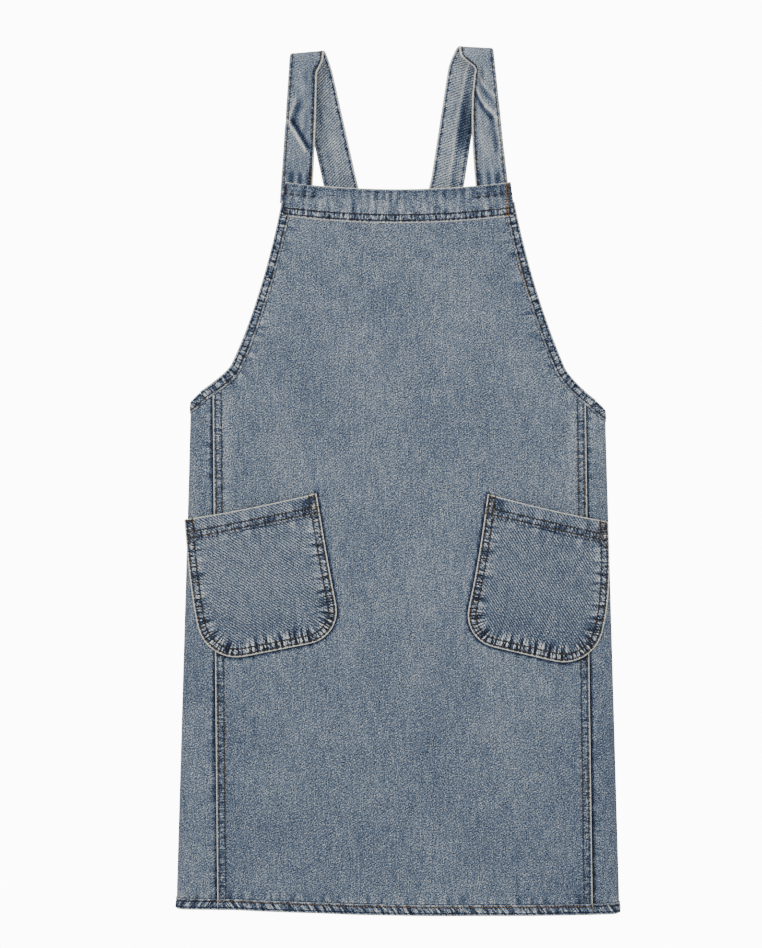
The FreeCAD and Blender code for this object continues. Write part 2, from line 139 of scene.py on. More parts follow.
# ---- Pockets: middle of the mouth, slant in degrees, half widths at the mouth and foot, and depth ----
POCKETS = {
    "left": {"middle": (-162.2, -494.3), "slant": 11.2,
             "mouth": 74.0, "inner": 71.5, "outer": 82.5, "deep": 160.5},
    "right": {"middle": (164.8, -495.9), "slant": -13.0,
              "mouth": 68.0, "inner": 60.5, "outer": 89.0, "deep": 162.5},
}
POCKET_CORNER = {"inner": 36.0, "outer": 44.0}
POCKET_HEM = 21.0
POCKET_EDGE = 1.9           # how far the sewn edge of a pocket stands off the front
POCKET_OPEN = 3.2           # and how much further its mouth stands open at rest
POCKET_PUCKER = 0.36        # how tall the puckers round its seams are
POCKET_THICK = 1.05         # its one ply, before it is turned under at the edges
POCKET_TONE = {"left": -0.02, "right": -0.05}
POCKET_HEART = (0.0, 82.0)  # the place in a pocket that its mesh closes in on

# ---------------------------------------------------------------- small tools


def smooth(t):
    """A smooth step from 0 to 1 as t goes from 0 to 1."""
    t = np.clip(t, 0.0, 1.0)
    return t * t * (3 - 2 * t)


def between(low, high, value):
    """0 below low, 1 above high and a smooth step between them."""
    return smooth((value - low) / (high - low))


def bell(value, wide):
    """1 where value is 0, falling softly to nothing either side."""
    return np.exp(-(value / wide) ** 2)


def steps(length, spacing):
    """How many points divide a length at about this spacing."""
    return max(2, int(round(length / spacing)) + 1)


def graded(length, fine, coarse, rim):
    """Distances from 0 to length, closely spaced within rim of both ends."""
    near = np.linspace(0, rim, steps(rim, fine))
    middle = np.linspace(rim, length - rim, steps(length - 2 * rim, coarse))
    return np.concatenate([near, middle[1:-1], length - near[::-1]])


def along_path(points):
    """The running length at each point of a path."""
    lengths = np.linalg.norm(np.diff(points, axis=0), axis=1)
    return np.concatenate([[0.0], np.cumsum(lengths)])


def resampled(points, spacing):
    """A path's points again, evenly spaced."""
    points = np.asarray(points, float)
    length = along_path(points)
    wanted = np.linspace(0, length[-1], steps(length[-1], spacing))
    return np.stack([np.interp(wanted, length, points[:, k]) for k in range(points.shape[1])], axis=1)


def softened(path, times):
    """A path whose corners are rounded off, a little more each time."""
    for _ in range(times):
        path[1:-1] = (path[:-2] + 2 * path[1:-1] + path[2:]) / 4
    return path


def arc(a, b, bow, count=60):
    """A circular arc from a to b, bowed to the left of that direction by bow."""
    a, b = np.array(a, float), np.array(b, float)
    chord = b - a
    length = np.linalg.norm(chord)
    side = np.array([-chord[1], chord[0]]) / length
    radius = (length * length / 4 + bow * bow) / (2 * bow)
    half = math.asin(length / 2 / abs(radius)) * np.sign(bow)
    centre = (a + b) / 2 + side * (bow - radius)
    turn = np.linspace(half, -half, count)
    forward = chord / length
    return centre + abs(radius) * np.sign(bow) * (
        np.cos(turn)[:, None] * side - np.sin(turn)[:, None] * forward)


def inward_of(path, towards):
    """Unit vectors across a flat path, on the side where the point towards lies."""
    along = np.gradient(path, axis=0)
    along /= np.linalg.norm(along, axis=1)[:, None]
    across = np.stack([-along[:, 1], along[:, 0]], axis=1)
    if ((np.array(towards) - path.mean(axis=0)) @ across.mean(axis=0)) < 0:
        across = -across
    return across


def uneven(along, seed):
    """A soft irregular wave along a seam, from -1 to 1, with no period that shows."""
    wave = np.sin(along / 1.37 + 2.1 * np.sin(along / 23.0 + seed) + seed)
    wave = wave + 0.7 * np.sin(along / 2.31 + 1.3 * np.sin(along / 41.0 - seed) + 2 * seed)
    return wave / 1.7


# ---------------------------------------------------------------- how the cloth hangs


def front_hang(x, z):
    """How far the front layer hangs behind its flat plane."""
    low = between(-BIB_Z + 30, -HEM_Z, -z)
    folds = 2.0 * np.sin(x / 31.0 + 0.6 + z / 420.0) + 1.0 * np.sin(x / 14.5 + 2.2 - z / 170.0)
    belly = -1.6 * np.cos(x / 150.0) * between(180, 420, -z)
    return low * folds + belly


def back_hang(x, z):
    """How far the back layer hangs behind its flat plane."""
    low = between(420, -HEM_Z, -z)
    folds = 3.2 * np.sin(x / 37.0 + 1.1 + z / 300.0) + 1.5 * np.sin(x / 17.0 - 0.4 + z / 140.0)
    return (0.25 + 0.75 * low) * folds * between(0, 26, np.abs(x))


def hem_drop(x):
    """How much lower than the cut line the hem hangs, more to the right of the middle."""
    return 2.4 + 2.4 * x / 244.0 + 4.4 * (1 - np.clip(np.abs(x - 35.0) / 215.0, 0, 1) ** 2)


def hung_z(x, z):
    """The height of a point of cloth once its hem has dropped and one underarm has ridden up."""
    raised = LEFT_CORNER_RISE * between(160, 215, -x) * between(-480, -400, z)
    return z + raised - hem_drop(x) * between(660, -HEM_Z, -z)


def down_side(z):
    """0 at the underarm corner and 1 at the hem."""
    return np.clip((CORNER[1] - z) / (CORNER[1] - HEM_Z), 0, 1)


def fold_start(z):
    """Where the side fold begins to turn, at a height."""
    return FOLD_TOP_X + (FOLD_FOOT_X - FOLD_TOP_X) * down_side(z)


def sag_z(x, drop):
    """The height at x of the bib's hanging top edge, or of a line drop below it."""
    radius = (BIB_HALF ** 2 + BIB_SAG ** 2) / (2 * BIB_SAG)
    return BIB_Z - BIB_SAG - drop + radius - np.sqrt(radius ** 2 - np.minimum(np.abs(x), 200.0) ** 2)


def seam_edge(x, z):
    """How far out the lapped edge of the front panel lies, on the side where x is."""
    left, right = (top + (foot - top) * down_side(z) for top, foot in SEAM_DRIFT.values())
    return SEAM_X + np.where(np.asarray(x) < 0, left, right)


def front_face(x, z):
    """Depth of the front's outer face, higher along the two lapped seams and one ply lower past them."""
    past = np.abs(x) - seam_edge(x, z)
    lap = between(-SEAM_LAP - 3, -SEAM_LAP + 1, past) * between(1.4, 0.2, past)
    return FRONT_Y + front_hang(x, z) - SEAM_RISE * lap + (SIDE_LOW[1] - FRONT_Y) * between(0.2, 1.4, past)


ARMHOLE = np.concatenate([arc((BIB_HALF, BIB_Z), KINK, -ARMHOLE_BOW), arc(KINK, CORNER, -UNDERARM_BOW)[1:]])
ARMHOLE = softened(resampled(ARMHOLE, GRAIN), 3)
FRONT_INSIDE = (0.0, BAND_LOW[2] - 150.0)   # a place within the front's outline
BACK_INSIDE = (300.0, -700.0)               # and one within a side panel's, as girth and height


def armhole_x(z):
    """How far out the armhole is at a height."""
    return np.interp(-z, -ARMHOLE[:, 1], ARMHOLE[:, 0])


def armhole_z(x):
    """How high the armhole is, this far out."""
    return np.interp(x, ARMHOLE[:, 0], ARMHOLE[:, 1])


# ---------------------------------------------------------------- meshes


def shown(name, data):
    """A new object of this name in the scene."""
    made = bpy.data.objects.new(name, data)
    bpy.context.scene.collection.objects.link(made)
    return made


def make_piece(name, points, faces, uv, fields, material):
    """A smooth mesh from points in millimetres, with a cloth UV map and its fields."""
    mesh = bpy.data.meshes.new(name)
    mesh.from_pydata((np.asarray(points) * MM).tolist(), [], faces)
    corner = np.empty(len(mesh.loops), int)
    mesh.loops.foreach_get("vertex_index", corner)
    mesh.uv_layers.new(name="cloth").data.foreach_set("uv", (np.asarray(uv)[corner] * MM).ravel())
    for key, values in fields.items():
        values = np.asarray(values, np.float32)
        kind, slot = ("FLOAT_VECTOR", "vector") if values.ndim == 2 else ("FLOAT", "value")
        mesh.attributes.new(key, kind, "POINT").data.foreach_set(slot, values.ravel())
    mesh.polygons.foreach_set("use_smooth", [True] * len(mesh.polygons))
    mesh.materials.append(material)
    mesh.validate()
    mesh.update()
    return shown(name, mesh)


def surface_normals(grid):
    """Unit normals of a grid whose rows run down and whose columns run right, outwards."""
    down, right = np.gradient(grid, axis=0), np.gradient(grid, axis=1)
    normal = np.cross(down, right)
    return normal / np.maximum(np.linalg.norm(normal, axis=2)[..., None], 1e-9)


def grid_faces(rows, cols, base, flip):
    """The four-sided faces of a grid whose first point is base."""
    index = base + np.arange(rows * cols).reshape(rows, cols)
    a, b, c, d = index[:-1, :-1], index[:-1, 1:], index[1:, 1:], index[1:, :-1]
    order = (a, b, c, d) if flip else (a, d, c, b)
    return np.stack([o.ravel() for o in order], axis=1).tolist()


def border(rows, cols):
    """The indices round a grid, the next ones inwards, once round."""
    index = np.arange(rows * cols).reshape(rows, cols)
    ring = [index[0, :-1], index[:-1, -1], index[-1, :0:-1], index[:0:-1, 0]]
    inner = np.clip(np.arange(rows), 1, rows - 2)[:, None] * cols + np.clip(np.arange(cols), 1, cols - 2)
    rest = [inner[0, :-1], inner[:-1, -1], inner[-1, :0:-1], inner[:0:-1, 0]]
    return np.concatenate(ring), np.concatenate(rest)


def cloth(name, grid, uv, fields, material, thick=CLOTH):
    """A sheet with a thickness and a rounded rim. grid is its outer face."""
    rows, cols = grid.shape[:2]
    outer = grid.reshape(-1, 3)
    inner = (grid - surface_normals(grid) * thick).reshape(-1, 3)
    ring, beside = border(rows, cols)
    middle = (outer[ring] + inner[ring]) / 2
    outwards = outer[ring] - outer[beside]
    outwards /= np.maximum(np.linalg.norm(outwards, axis=1)[:, None], 1e-9)
    rim = middle + outwards * thick * 0.3
    count = rows * cols
    faces = grid_faces(rows, cols, 0, False) + grid_faces(rows, cols, count, True)
    edge = 2 * count + np.arange(len(ring))
    following = np.roll(np.arange(len(ring)), -1)
    for outer_side, base in ((True, 0), (False, count)):
        near, far = base + ring, base + ring[following]
        loop = (near, far, edge[following], edge) if outer_side else (edge, edge[following], far, near)
        faces += np.stack(loop, axis=1).tolist()
    points = np.concatenate([outer, inner, rim])
    flat = uv.reshape(-1, 2)
    made = {"reverse": np.concatenate([np.zeros(count), np.ones(count), np.zeros(len(ring))])}
    for key, values in fields.items():
        values = np.asarray(values, float).reshape(count, *np.shape(values)[2:])
        made[key] = np.concatenate([values, values, values[ring]])
    return make_piece(name, points, faces, np.concatenate([flat, flat, flat[ring]]), made, material)


def seam_field(along, off, strength):
    """Where each point lies by its nearest seam: running length, distance and strength."""
    along, off, strength = np.broadcast_arrays(along, off, strength)
    return np.stack([along, off, strength * 1000.0], axis=-1) * MM


def outwards_first(piece):
    """Turns a closed mesh's faces outwards, judged by its signed volume."""
    mesh = piece.data
    mesh.calc_loop_triangles()
    points = np.array([v.co for v in mesh.vertices])
    tri = np.array([t.vertices for t in mesh.loop_triangles])
    a, b, c = points[tri[:, 0]], points[tri[:, 1]], points[tri[:, 2]]
    if (a * np.cross(b, c)).sum() < 0:
        mesh.flip_normals()
    mesh.update()


# ---------------------------------------------------------------- materials


def linear(code):
    """An sRGB hex colour as linear red, green, blue and alpha."""
    parts = [int(code[k:k + 2], 16) / 255 for k in (1, 3, 5)]
    return [p / 12.92 if p <= 0.04045 else ((p + 0.055) / 1.055) ** 2.4 for p in parts] + [1.0]


def add_node(tree, kind, settings=None, **inputs):
    """A node with its settings. An input is a value, or a socket to link from; _1 means index 1."""
    made = tree.nodes.new(kind)
    for key, value in (settings or {}).items():
        setattr(made, key, value)
    for key, value in inputs.items():
        socket = made.inputs[int(key[1:])] if key[0] == "_" else made.inputs[key.replace("_", " ")]
        if isinstance(value, bpy.types.NodeSocket):
            tree.links.new(value, socket)
        else:
            socket.default_value = value
    return made


def maths(tree, operation, a, b=0.0, c=0.0):
    return add_node(tree, "ShaderNodeMath", {"operation": operation}, _0=a, _1=b, _2=c).outputs[0]


def new_material(name):
    """A material with an empty node tree."""
    material = bpy.data.materials.new(name)
    material.use_nodes = True
    material.node_tree.nodes.clear()
    return material, material.node_tree


def attribute(tree, name, output="Fac"):
    return add_node(tree, "ShaderNodeAttribute", {"attribute_name": name}).outputs[output]


MIDDLE_TONE = 0.486         # the cloth's tone before its patterns are added
RIBS_APART = 2.6            # real ones are 0.7 mm apart, too fine to show
WAVE_REPEAT = 0.314         # how long one wave of the wave texture is at a scale of 1
RUBBED_WHITE = "#E3DFD0"
DENIM_RAMP = ((0.0, "#0C1322"), (0.16, "#1C2B49"), (0.36, "#404D61"), (0.5, "#546272"),
              (0.66, "#74808E"), (0.85, "#ABB0B4"), (1.0, "#DAD8CE"))


def washed_denim(name, twill=0.10, heather=1.0, mottle=1.0, lift=0.0, pucker=1.0, turn=58):
    """Stone-washed indigo twill: a matt salt-and-pepper blue, darker where it was covered in the wash, and
    rubbed almost white along every folded edge and on each pucker of a seam. Each piece also brings a tone of
    its own, real wear together with painted shade: painted shadows round the pockets, beside lapped edges and
    in creases."""
    material, tree = new_material(name)
    cloth_uv = add_node(tree, "ShaderNodeUVMap", {"uv_map": "cloth"}).outputs[0]
    seam = attribute(tree, "seam", "Vector")
    split = add_node(tree, "ShaderNodeSeparateXYZ", _0=seam)
    edge = attribute(tree, "edge")
    # each piece's own tone: real wear and painted shade together
    wear_and_shade = attribute(tree, "wear_and_shade")
    reverse = attribute(tree, "reverse")

    def pattern(vector, x, y, detail, rough, distortion=0.0):
        """Noise from 0 to 1 whose features are x by y millimetres."""
        sized = add_node(tree, "ShaderNodeMapping", None, Vector=vector,
                         Scale=(1 / (x * MM), 1 / (y * MM), 1.0))
        return add_node(tree, "ShaderNodeTexNoise", {"noise_dimensions": "2D"}, Vector=sized.outputs[0],
                        Scale=1.0, Detail=detail, Roughness=rough, Distortion=distortion).outputs[0]

    def ramped(value, none, whole):
        """0 at none millimetres and 1 at whole."""
        return add_node(tree, "ShaderNodeMapRange", {"interpolation_type": "SMOOTHSTEP"}, Value=value,
                        From_Min=none * MM, From_Max=whole * MM).outputs[0]

    def term(value, gain):
        """What a pattern adds to the tone: nothing at its middle, gain for a whole step."""
        return maths(tree, "MULTIPLY_ADD", value, gain, -gain / 2)

    # Yarns are 0.4 mm; the flecks are drawn three times as coarse so that they show.
    flecks = pattern(cloth_uv, 1.2, 1.45, 2.0, 0.6, 0.4)
    grit = pattern(cloth_uv, 0.7, 0.85, 0.0, 0.5)
    slubs = pattern(cloth_uv, 2.6, 26.0, 2.0, 0.6)
    clouds = pattern(cloth_uv, 75.0, 110.0, 3.0, 0.55)
    mottles = pattern(cloth_uv, 9.0, 14.0, 2.0, 0.5)
    turned = add_node(tree, "ShaderNodeMapping", None, Vector=cloth_uv,
                      Rotation=(0.0, 0.0, math.radians(turn)), Scale=(1000.0, 1000.0, 1.0)).outputs[0]
    ribs = add_node(tree, "ShaderNodeTexWave", {"wave_type": "BANDS", "bands_direction": "X"}, Vector=turned,
                    Scale=WAVE_REPEAT / RIBS_APART, Distortion=2.2, Detail=1.5, Detail_Scale=0.35).outputs[1]
    puckers = pattern(seam, 2.5, 7.0, 1.0, 0.5)
    pulls = pattern(seam, 3.8, 24.0, 2.0, 0.5)
    ticks = pattern(seam, 1.5, 9.0, 1.0, 0.5)
    off = split.outputs[1]
    strength = split.outputs[2]
    near = ramped(off, 11.0, 9.0)
    wide = ramped(off, 25.0, 8.5)
    # Both rows of a twin seam lie in a darkened groove, partly unfaded cloth and partly painted shade in the
    # dents of the stitches, with dark rungs of the same between them.
    from_middle = maths(tree, "ABSOLUTE", maths(tree, "SUBTRACT", off, (EDGE_MARGIN + NEEDLE_GAUGE / 2) * MM))
    from_row = maths(tree, "ABSOLUTE", maths(tree, "SUBTRACT", from_middle, NEEDLE_GAUGE / 2 * MM))
    groove = maths(tree, "MULTIPLY", ramped(from_row, 1.35, 0.2), strength)
    within = ramped(from_middle, NEEDLE_GAUGE / 2 + 0.4, NEEDLE_GAUGE / 2 - 0.6)
    ladder = maths(tree, "MULTIPLY", within, strength)
    near = maths(tree, "MULTIPLY", near, strength)
    wide = maths(tree, "MULTIPLY", wide, maths(tree, "POWER", strength, 3.0))
    tone = maths(tree, "ADD", MIDDLE_TONE + lift, term(flecks, 1.65 * heather))
    for value, gain in ((grit, 0.9 * heather), (slubs, 0.22), (clouds, 0.20),
                        (mottles, 0.16 * mottle), (ribs, twill)):
        tone = maths(tree, "ADD", tone, term(value, gain))
    ribbed = maths(tree, "MULTIPLY", term(ribs, 0.20), reverse)
    tone = maths(tree, "ADD", tone, maths(tree, "MULTIPLY_ADD", reverse, 0.03, ribbed))
    seam_tone = maths(tree, "ADD", maths(tree, "MULTIPLY", term(puckers, 1.8 * pucker), near),
                      maths(tree, "MULTIPLY", term(pulls, 1.5), wide))
    seam_tone = maths(tree, "MULTIPLY_ADD", groove, -0.65, seam_tone)
    rungs = maths(tree, "MULTIPLY_ADD", ticks, 1.3, -0.77)
    seam_tone = maths(tree, "MULTIPLY_ADD", rungs, ladder, seam_tone)
    tone = maths(tree, "ADD", maths(tree, "ADD", tone, seam_tone), wear_and_shade)
    ramp = add_node(tree, "ShaderNodeValToRGB", None, _0=tone)
    for stop, (place, code) in zip(ramp.color_ramp.elements, (DENIM_RAMP[0], DENIM_RAMP[-1])):
        stop.position = place
        stop.color = linear(code)
    for place, code in DENIM_RAMP[1:-1]:
        ramp.color_ramp.elements.new(place).color = linear(code)
    fluff = add_node(tree, "ShaderNodeMapRange", None, Value=flecks, From_Min=0.2, From_Max=0.5,
                     To_Max=0.9).outputs[0]
    rubbed = maths(tree, "MULTIPLY", ramped(edge, 1.45, 0.5), fluff)
    colour = add_node(tree, "ShaderNodeMix", {"data_type": "RGBA"}, _0=rubbed, _6=ramp.outputs[0],
                      _7=linear(RUBBED_WHITE)).outputs[2]
    height = maths(tree, "ADD", maths(tree, "MULTIPLY", ribs, 0.5), flecks)
    height = maths(tree, "ADD", height, maths(tree, "MULTIPLY", maths(tree, "MULTIPLY", puckers, near), 1.6))
    bump = add_node(tree, "ShaderNodeBump", None, Strength=0.7, Distance=0.35 * MM, Height=height)
    shader = add_node(tree, "ShaderNodeBsdfPrincipled", None, Base_Color=colour, Roughness=0.92,
                      Specular_IOR_Level=0.12, Sheen_Weight=0.12, Sheen_Roughness=0.6, Normal=bump.outputs[0])
    add_node(tree, "ShaderNodeOutputMaterial", None, Surface=shader.outputs[0])
    return material


def topstitch_thread(name, code, dark):
    """Spun polyester thread: a soft twisted ply with a slight sheen, faded unevenly in the wash."""
    material, tree = new_material(name)
    dye = attribute(tree, "dye")
    place = add_node(tree, "ShaderNodeTexCoord").outputs["Object"]
    fuzz = add_node(tree, "ShaderNodeTexNoise", None, Vector=place, Scale=900.0, Detail=2.0).outputs[0]
    mixed = maths(tree, "ADD", maths(tree, "MULTIPLY", dye, 0.6), maths(tree, "MULTIPLY", fuzz, 0.4))
    colour = add_node(tree, "ShaderNodeMix", {"data_type": "RGBA"}, _0=mixed, _6=linear(dark),
                      _7=linear(code)).outputs[2]
    bump = add_node(tree, "ShaderNodeBump", None, Strength=0.5, Distance=0.1 * MM, Height=fuzz)
    shader = add_node(tree, "ShaderNodeBsdfPrincipled", None, Base_Color=colour, Roughness=0.7,
                      Specular_IOR_Level=0.25, Normal=bump.outputs[0])
    add_node(tree, "ShaderNodeOutputMaterial", None, Surface=shader.outputs[0])
    return material


DENIM = washed_denim("washed_indigo_denim")
POCKET_DENIM = washed_denim("washed_denim_pocket_twill", twill=0.42, heather=0.95, pucker=0.85,
                            turn=-46)
BAND_DENIM = washed_denim("rubbed_denim_band", twill=0.06, mottle=2.6, lift=0.04)
HEM_DENIM = washed_denim("rubbed_denim_hem", mottle=1.4, pucker=0.9)
STRAP_DENIM = washed_denim("creased_denim_strap", twill=0.16, heather=0.8, mottle=1.7, lift=0.05,
                           pucker=0.7)
BROWN_THREAD = topstitch_thread("brown_topstitch_thread", "#55432E", "#16130F")
TAN_THREAD = topstitch_thread("tan_topstitch_thread", "#6B5A40", "#1B1815")
GOLD_THREAD = topstitch_thread("gold_topstitch_thread", "#98733C", "#4A3922")

# ---------------------------------------------------------------- stitches


def stitch_nodes():
    """Geometry nodes that lay a stitch on every pitch of each row of edges."""
    tree = bpy.data.node_groups.new("rows_of_topstitch", "GeometryNodeTree")
    face = tree.interface
    face.new_socket("Geometry", in_out="INPUT", socket_type="NodeSocketGeometry")
    for label in ("Pitch", "Stitch Length", "Thread Width"):
        face.new_socket(label, in_out="INPUT", socket_type="NodeSocketFloat")
    face.new_socket("Seed", in_out="INPUT", socket_type="NodeSocketInt")
    face.new_socket("Thread", in_out="INPUT", socket_type="NodeSocketMaterial")
    face.new_socket("Geometry", in_out="OUTPUT", socket_type="NodeSocketGeometry")
    given = add_node(tree, "NodeGroupInput").outputs
    rows = add_node(tree, "GeometryNodeMeshToCurve", None, Mesh=given["Geometry"])
    rows = add_node(tree, "GeometryNodeResampleCurve", {"mode": "LENGTH"}, Curve=rows.outputs[0],
                    Length=given["Pitch"])
    along = add_node(tree, "GeometryNodeInputTangent").outputs[0]
    turn = add_node(tree, "FunctionNodeAlignRotationToVector", {"axis": "X"}, Vector=along).outputs[0]
    seed = given["Seed"]
    tilt = add_node(tree, "FunctionNodeRandomValue", {"data_type": "FLOAT"}, _2=-0.12, _3=0.12,
                    Seed=seed).outputs[1]
    tilted = add_node(tree, "ShaderNodeCombineXYZ", None, X=0.0, Y=tilt, Z=tilt).outputs[0]
    turned = add_node(tree, "FunctionNodeRotateRotation", {"rotation_space": "LOCAL"}, Rotation=turn,
                      Rotate_By=tilted).outputs[0]
    stitch = add_node(tree, "GeometryNodeMeshUVSphere", None, Segments=7, Rings=5, Radius=0.5).outputs[0]
    size = add_node(tree, "ShaderNodeCombineXYZ", None, X=given["Stitch Length"], Y=given["Thread Width"],
                    Z=given["Thread Width"]).outputs[0]
    stitch = add_node(tree, "GeometryNodeTransform", None, Geometry=stitch, Scale=size).outputs[0]
    laid = add_node(tree, "GeometryNodeInstanceOnPoints", None, Points=rows.outputs[0], Instance=stitch,
                    Rotation=turned).outputs[0]
    dye = add_node(tree, "FunctionNodeRandomValue", {"data_type": "FLOAT"}, _2=0.0, _3=1.0,
                   Seed=seed).outputs[1]
    dyed = add_node(tree, "GeometryNodeStoreNamedAttribute", {"data_type": "FLOAT", "domain": "INSTANCE"},
                    Geometry=laid, Name="dye", Value=dye).outputs[0]
    whole = add_node(tree, "GeometryNodeRealizeInstances", None, Geometry=dyed).outputs[0]
    whole = add_node(tree, "GeometryNodeSetShadeSmooth", None, Geometry=whole).outputs[0]
    whole = add_node(tree, "GeometryNodeSetMaterial", None, Geometry=whole,
                     Material=given["Thread"]).outputs[0]
    add_node(tree, "NodeGroupOutput", None, Geometry=whole)
    return tree


STITCHES = stitch_nodes()


def topstitching(name, rows, thread, seed, pitch=STITCH_PITCH, long=STITCH_LONG, wide=THREAD_WIDE):
    """Stitches along rows, each a path of points in millimetres, as one plain mesh."""
    points, edges = [], []
    for row in rows:
        row = resampled(row, pitch)
        start = len(points)
        points += (row * MM).tolist()
        edges += [(k, k + 1) for k in range(start, start + len(row) - 1)]
    guide_mesh = bpy.data.meshes.new(name)
    guide_mesh.from_pydata(points, edges, [])
    guide = shown(name, guide_mesh)
    modifier = guide.modifiers.new("stitches", "NODES")
    modifier.node_group = STITCHES
    wanted = {"Pitch": pitch * MM, "Stitch Length": long * MM, "Thread Width": wide * MM,
              "Seed": seed, "Thread": thread}
    for item in STITCHES.interface.items_tree:
        if item.in_out == "INPUT" and item.name in wanted:
            modifier[item.identifier] = wanted[item.name]
    stitched = guide.evaluated_get(bpy.context.evaluated_depsgraph_get())
    mesh = bpy.data.meshes.new_from_object(stitched)
    mesh.name = name
    bpy.data.objects.remove(guide)
    bpy.data.meshes.remove(guide_mesh)
    return shown(name, mesh)


def on_face(path, face, lift=0.12):
    """A flat path of x, z laid on a face, just proud of it."""
    path = resampled(path, GRAIN)
    x, z = path[:, 0], path[:, 1]
    return np.stack([x, face(x, z) - lift, hung_z(x, z)], axis=1)


# ---------------------------------------------------------------- outlines and seam places


def closest(path, x, z):
    """For each point, its distance from a path and how far along the path it lies."""
    path = resampled(path, 0.8)
    length = along_path(path)
    shape = np.shape(x)
    flat = np.stack([np.ravel(x), np.ravel(z)], axis=1)
    away, place = np.empty(len(flat)), np.empty(len(flat))
    for start in range(0, len(flat), 4000):
        part = flat[start:start + 4000]
        gap = np.hypot(part[:, 0, None] - path[None, :, 0], part[:, 1, None] - path[None, :, 1])
        best = gap.argmin(axis=1)
        away[start:start + 4000] = gap[np.arange(len(part)), best]
        place[start:start + 4000] = length[best]
    return away.reshape(shape), place.reshape(shape)


def pocket_axes(side):
    """Unit directions along a pocket's mouth and down from it, in x and z."""
    slant = math.radians(POCKETS[side]["slant"])
    return np.array([math.cos(slant), math.sin(slant)]), np.array([math.sin(slant), -math.cos(slant)])


def pocket_place(side, a, b):
    """The x and z of a place a along a pocket's mouth and b down from it."""
    along, down = pocket_axes(side)
    middle = POCKETS[side]["middle"]
    return middle[0] + along[0] * a + down[0] * b, middle[1] + along[1] * a + down[1] * b


def pocket_local(side, x, z):
    """The reverse of pocket_place."""
    along, down = pocket_axes(side)
    middle = POCKETS[side]["middle"]
    dx, dz = x - middle[0], z - middle[1]
    return dx * along[0] + dz * along[1], dx * down[0] + dz * down[1]


def pocket_outline(side):
    """The sewn outline from one end of the mouth round the foot to the other, in a and b."""
    size = POCKETS[side]
    deep = size["deep"]
    half = {}
    for edge in ("inner", "outer"):
        radius = POCKET_CORNER[edge]
        widest = size[edge]
        turn = np.linspace(0, math.pi / 2, 24)
        down = np.linspace(0, deep - radius, 30)
        bow = size["mouth"] + (widest - size["mouth"]) * np.sin(down / (deep - radius) * math.pi / 2)
        corner = np.stack([widest - radius * (1 - np.cos(turn)), deep - radius * (1 - np.sin(turn))], axis=1)
        half[edge] = np.concatenate([np.stack([bow, down], axis=1), corner[1:]])
    outer_sign = SIDES[side]
    left, right = half["outer"] * (-1, 1), half["inner"]
    if outer_sign > 0:
        left, right = half["inner"] * (-1, 1), half["outer"]
    whole = np.concatenate([left, right[::-1]])
    return softened(resampled(whole, GRAIN), 4)


def pocket_path(side, inset=0.0):
    """A pocket's outline in x and z, moved in from its edge."""
    local = pocket_outline(side)
    local = local + inward_of(local, (0.0, 60.0)) * inset
    x, z = pocket_place(side, local[:, 0], local[:, 1])
    return np.stack([x, z], axis=1)


def nearest_seam(choices):
    """The field of whichever seam is nearest, from tuples of running length, offset and strength."""
    shape = np.broadcast_shapes(*[np.shape(part) for choice in choices for part in choice])
    along, off, strength = (np.stack([np.broadcast_to(part, shape) for part in parts])
                            for parts in zip(*choices))
    best = off.argmin(axis=0)[None]
    return [np.take_along_axis(part, best, axis=0)[0] for part in (along, off, strength)]


STITCHED = EDGE_MARGIN + NEEDLE_GAUGE   # a seam's puckered strip, from its edge to its second row


def panel_seams(x, z):
    """The front panel's seams. Each starts its run at its own number, so that no two pucker alike."""
    arm_off, arm_along = closest(ARMHOLE, np.abs(x), z)
    below_arm = np.where(z < KINK[1] - 14, seam_edge(x, z) - np.abs(x), 900.0)
    choices = [
        (-z + np.where(x < 0, 3000.0, 0.0), below_arm, 0.52),
        (arm_along + np.where(x < 0, 1500.0, 0.0), arm_off - ARM_HEM + STITCHED, 0.8),
        (x + 500.0, z - HEM_Z - BOTTOM_HEM + STITCHED, 0.8),
        (x + 5000.0, sag_z(x, BAND_TALL) - z + STITCHED + 1.0, 0.6)]
    for side in SIDES:
        a, b = pocket_local(side, x, z)
        off, along = closest(pocket_path(side), x, z)
        inside = (b > 0) & (off < 60) & (np.abs(a) < 88) & (b < POCKETS[side]["deep"])
        choices.append((along + 7000.0, np.where(inside & (b < 150), 60.0, off + STITCHED + 1.0), 0.6))
    return nearest_seam(choices)


PUCKER_TALL = 0.28


def seam_relief(along, off, strength):
    """Height of the puckers along a seam, fading into the panel beyond its rows."""
    return PUCKER_TALL * strength * uneven(along, 0.4) * between(0.4, 2.5, off) * between(22.0, 7.0, off)


# ---------------------------------------------------------------- front panel and band


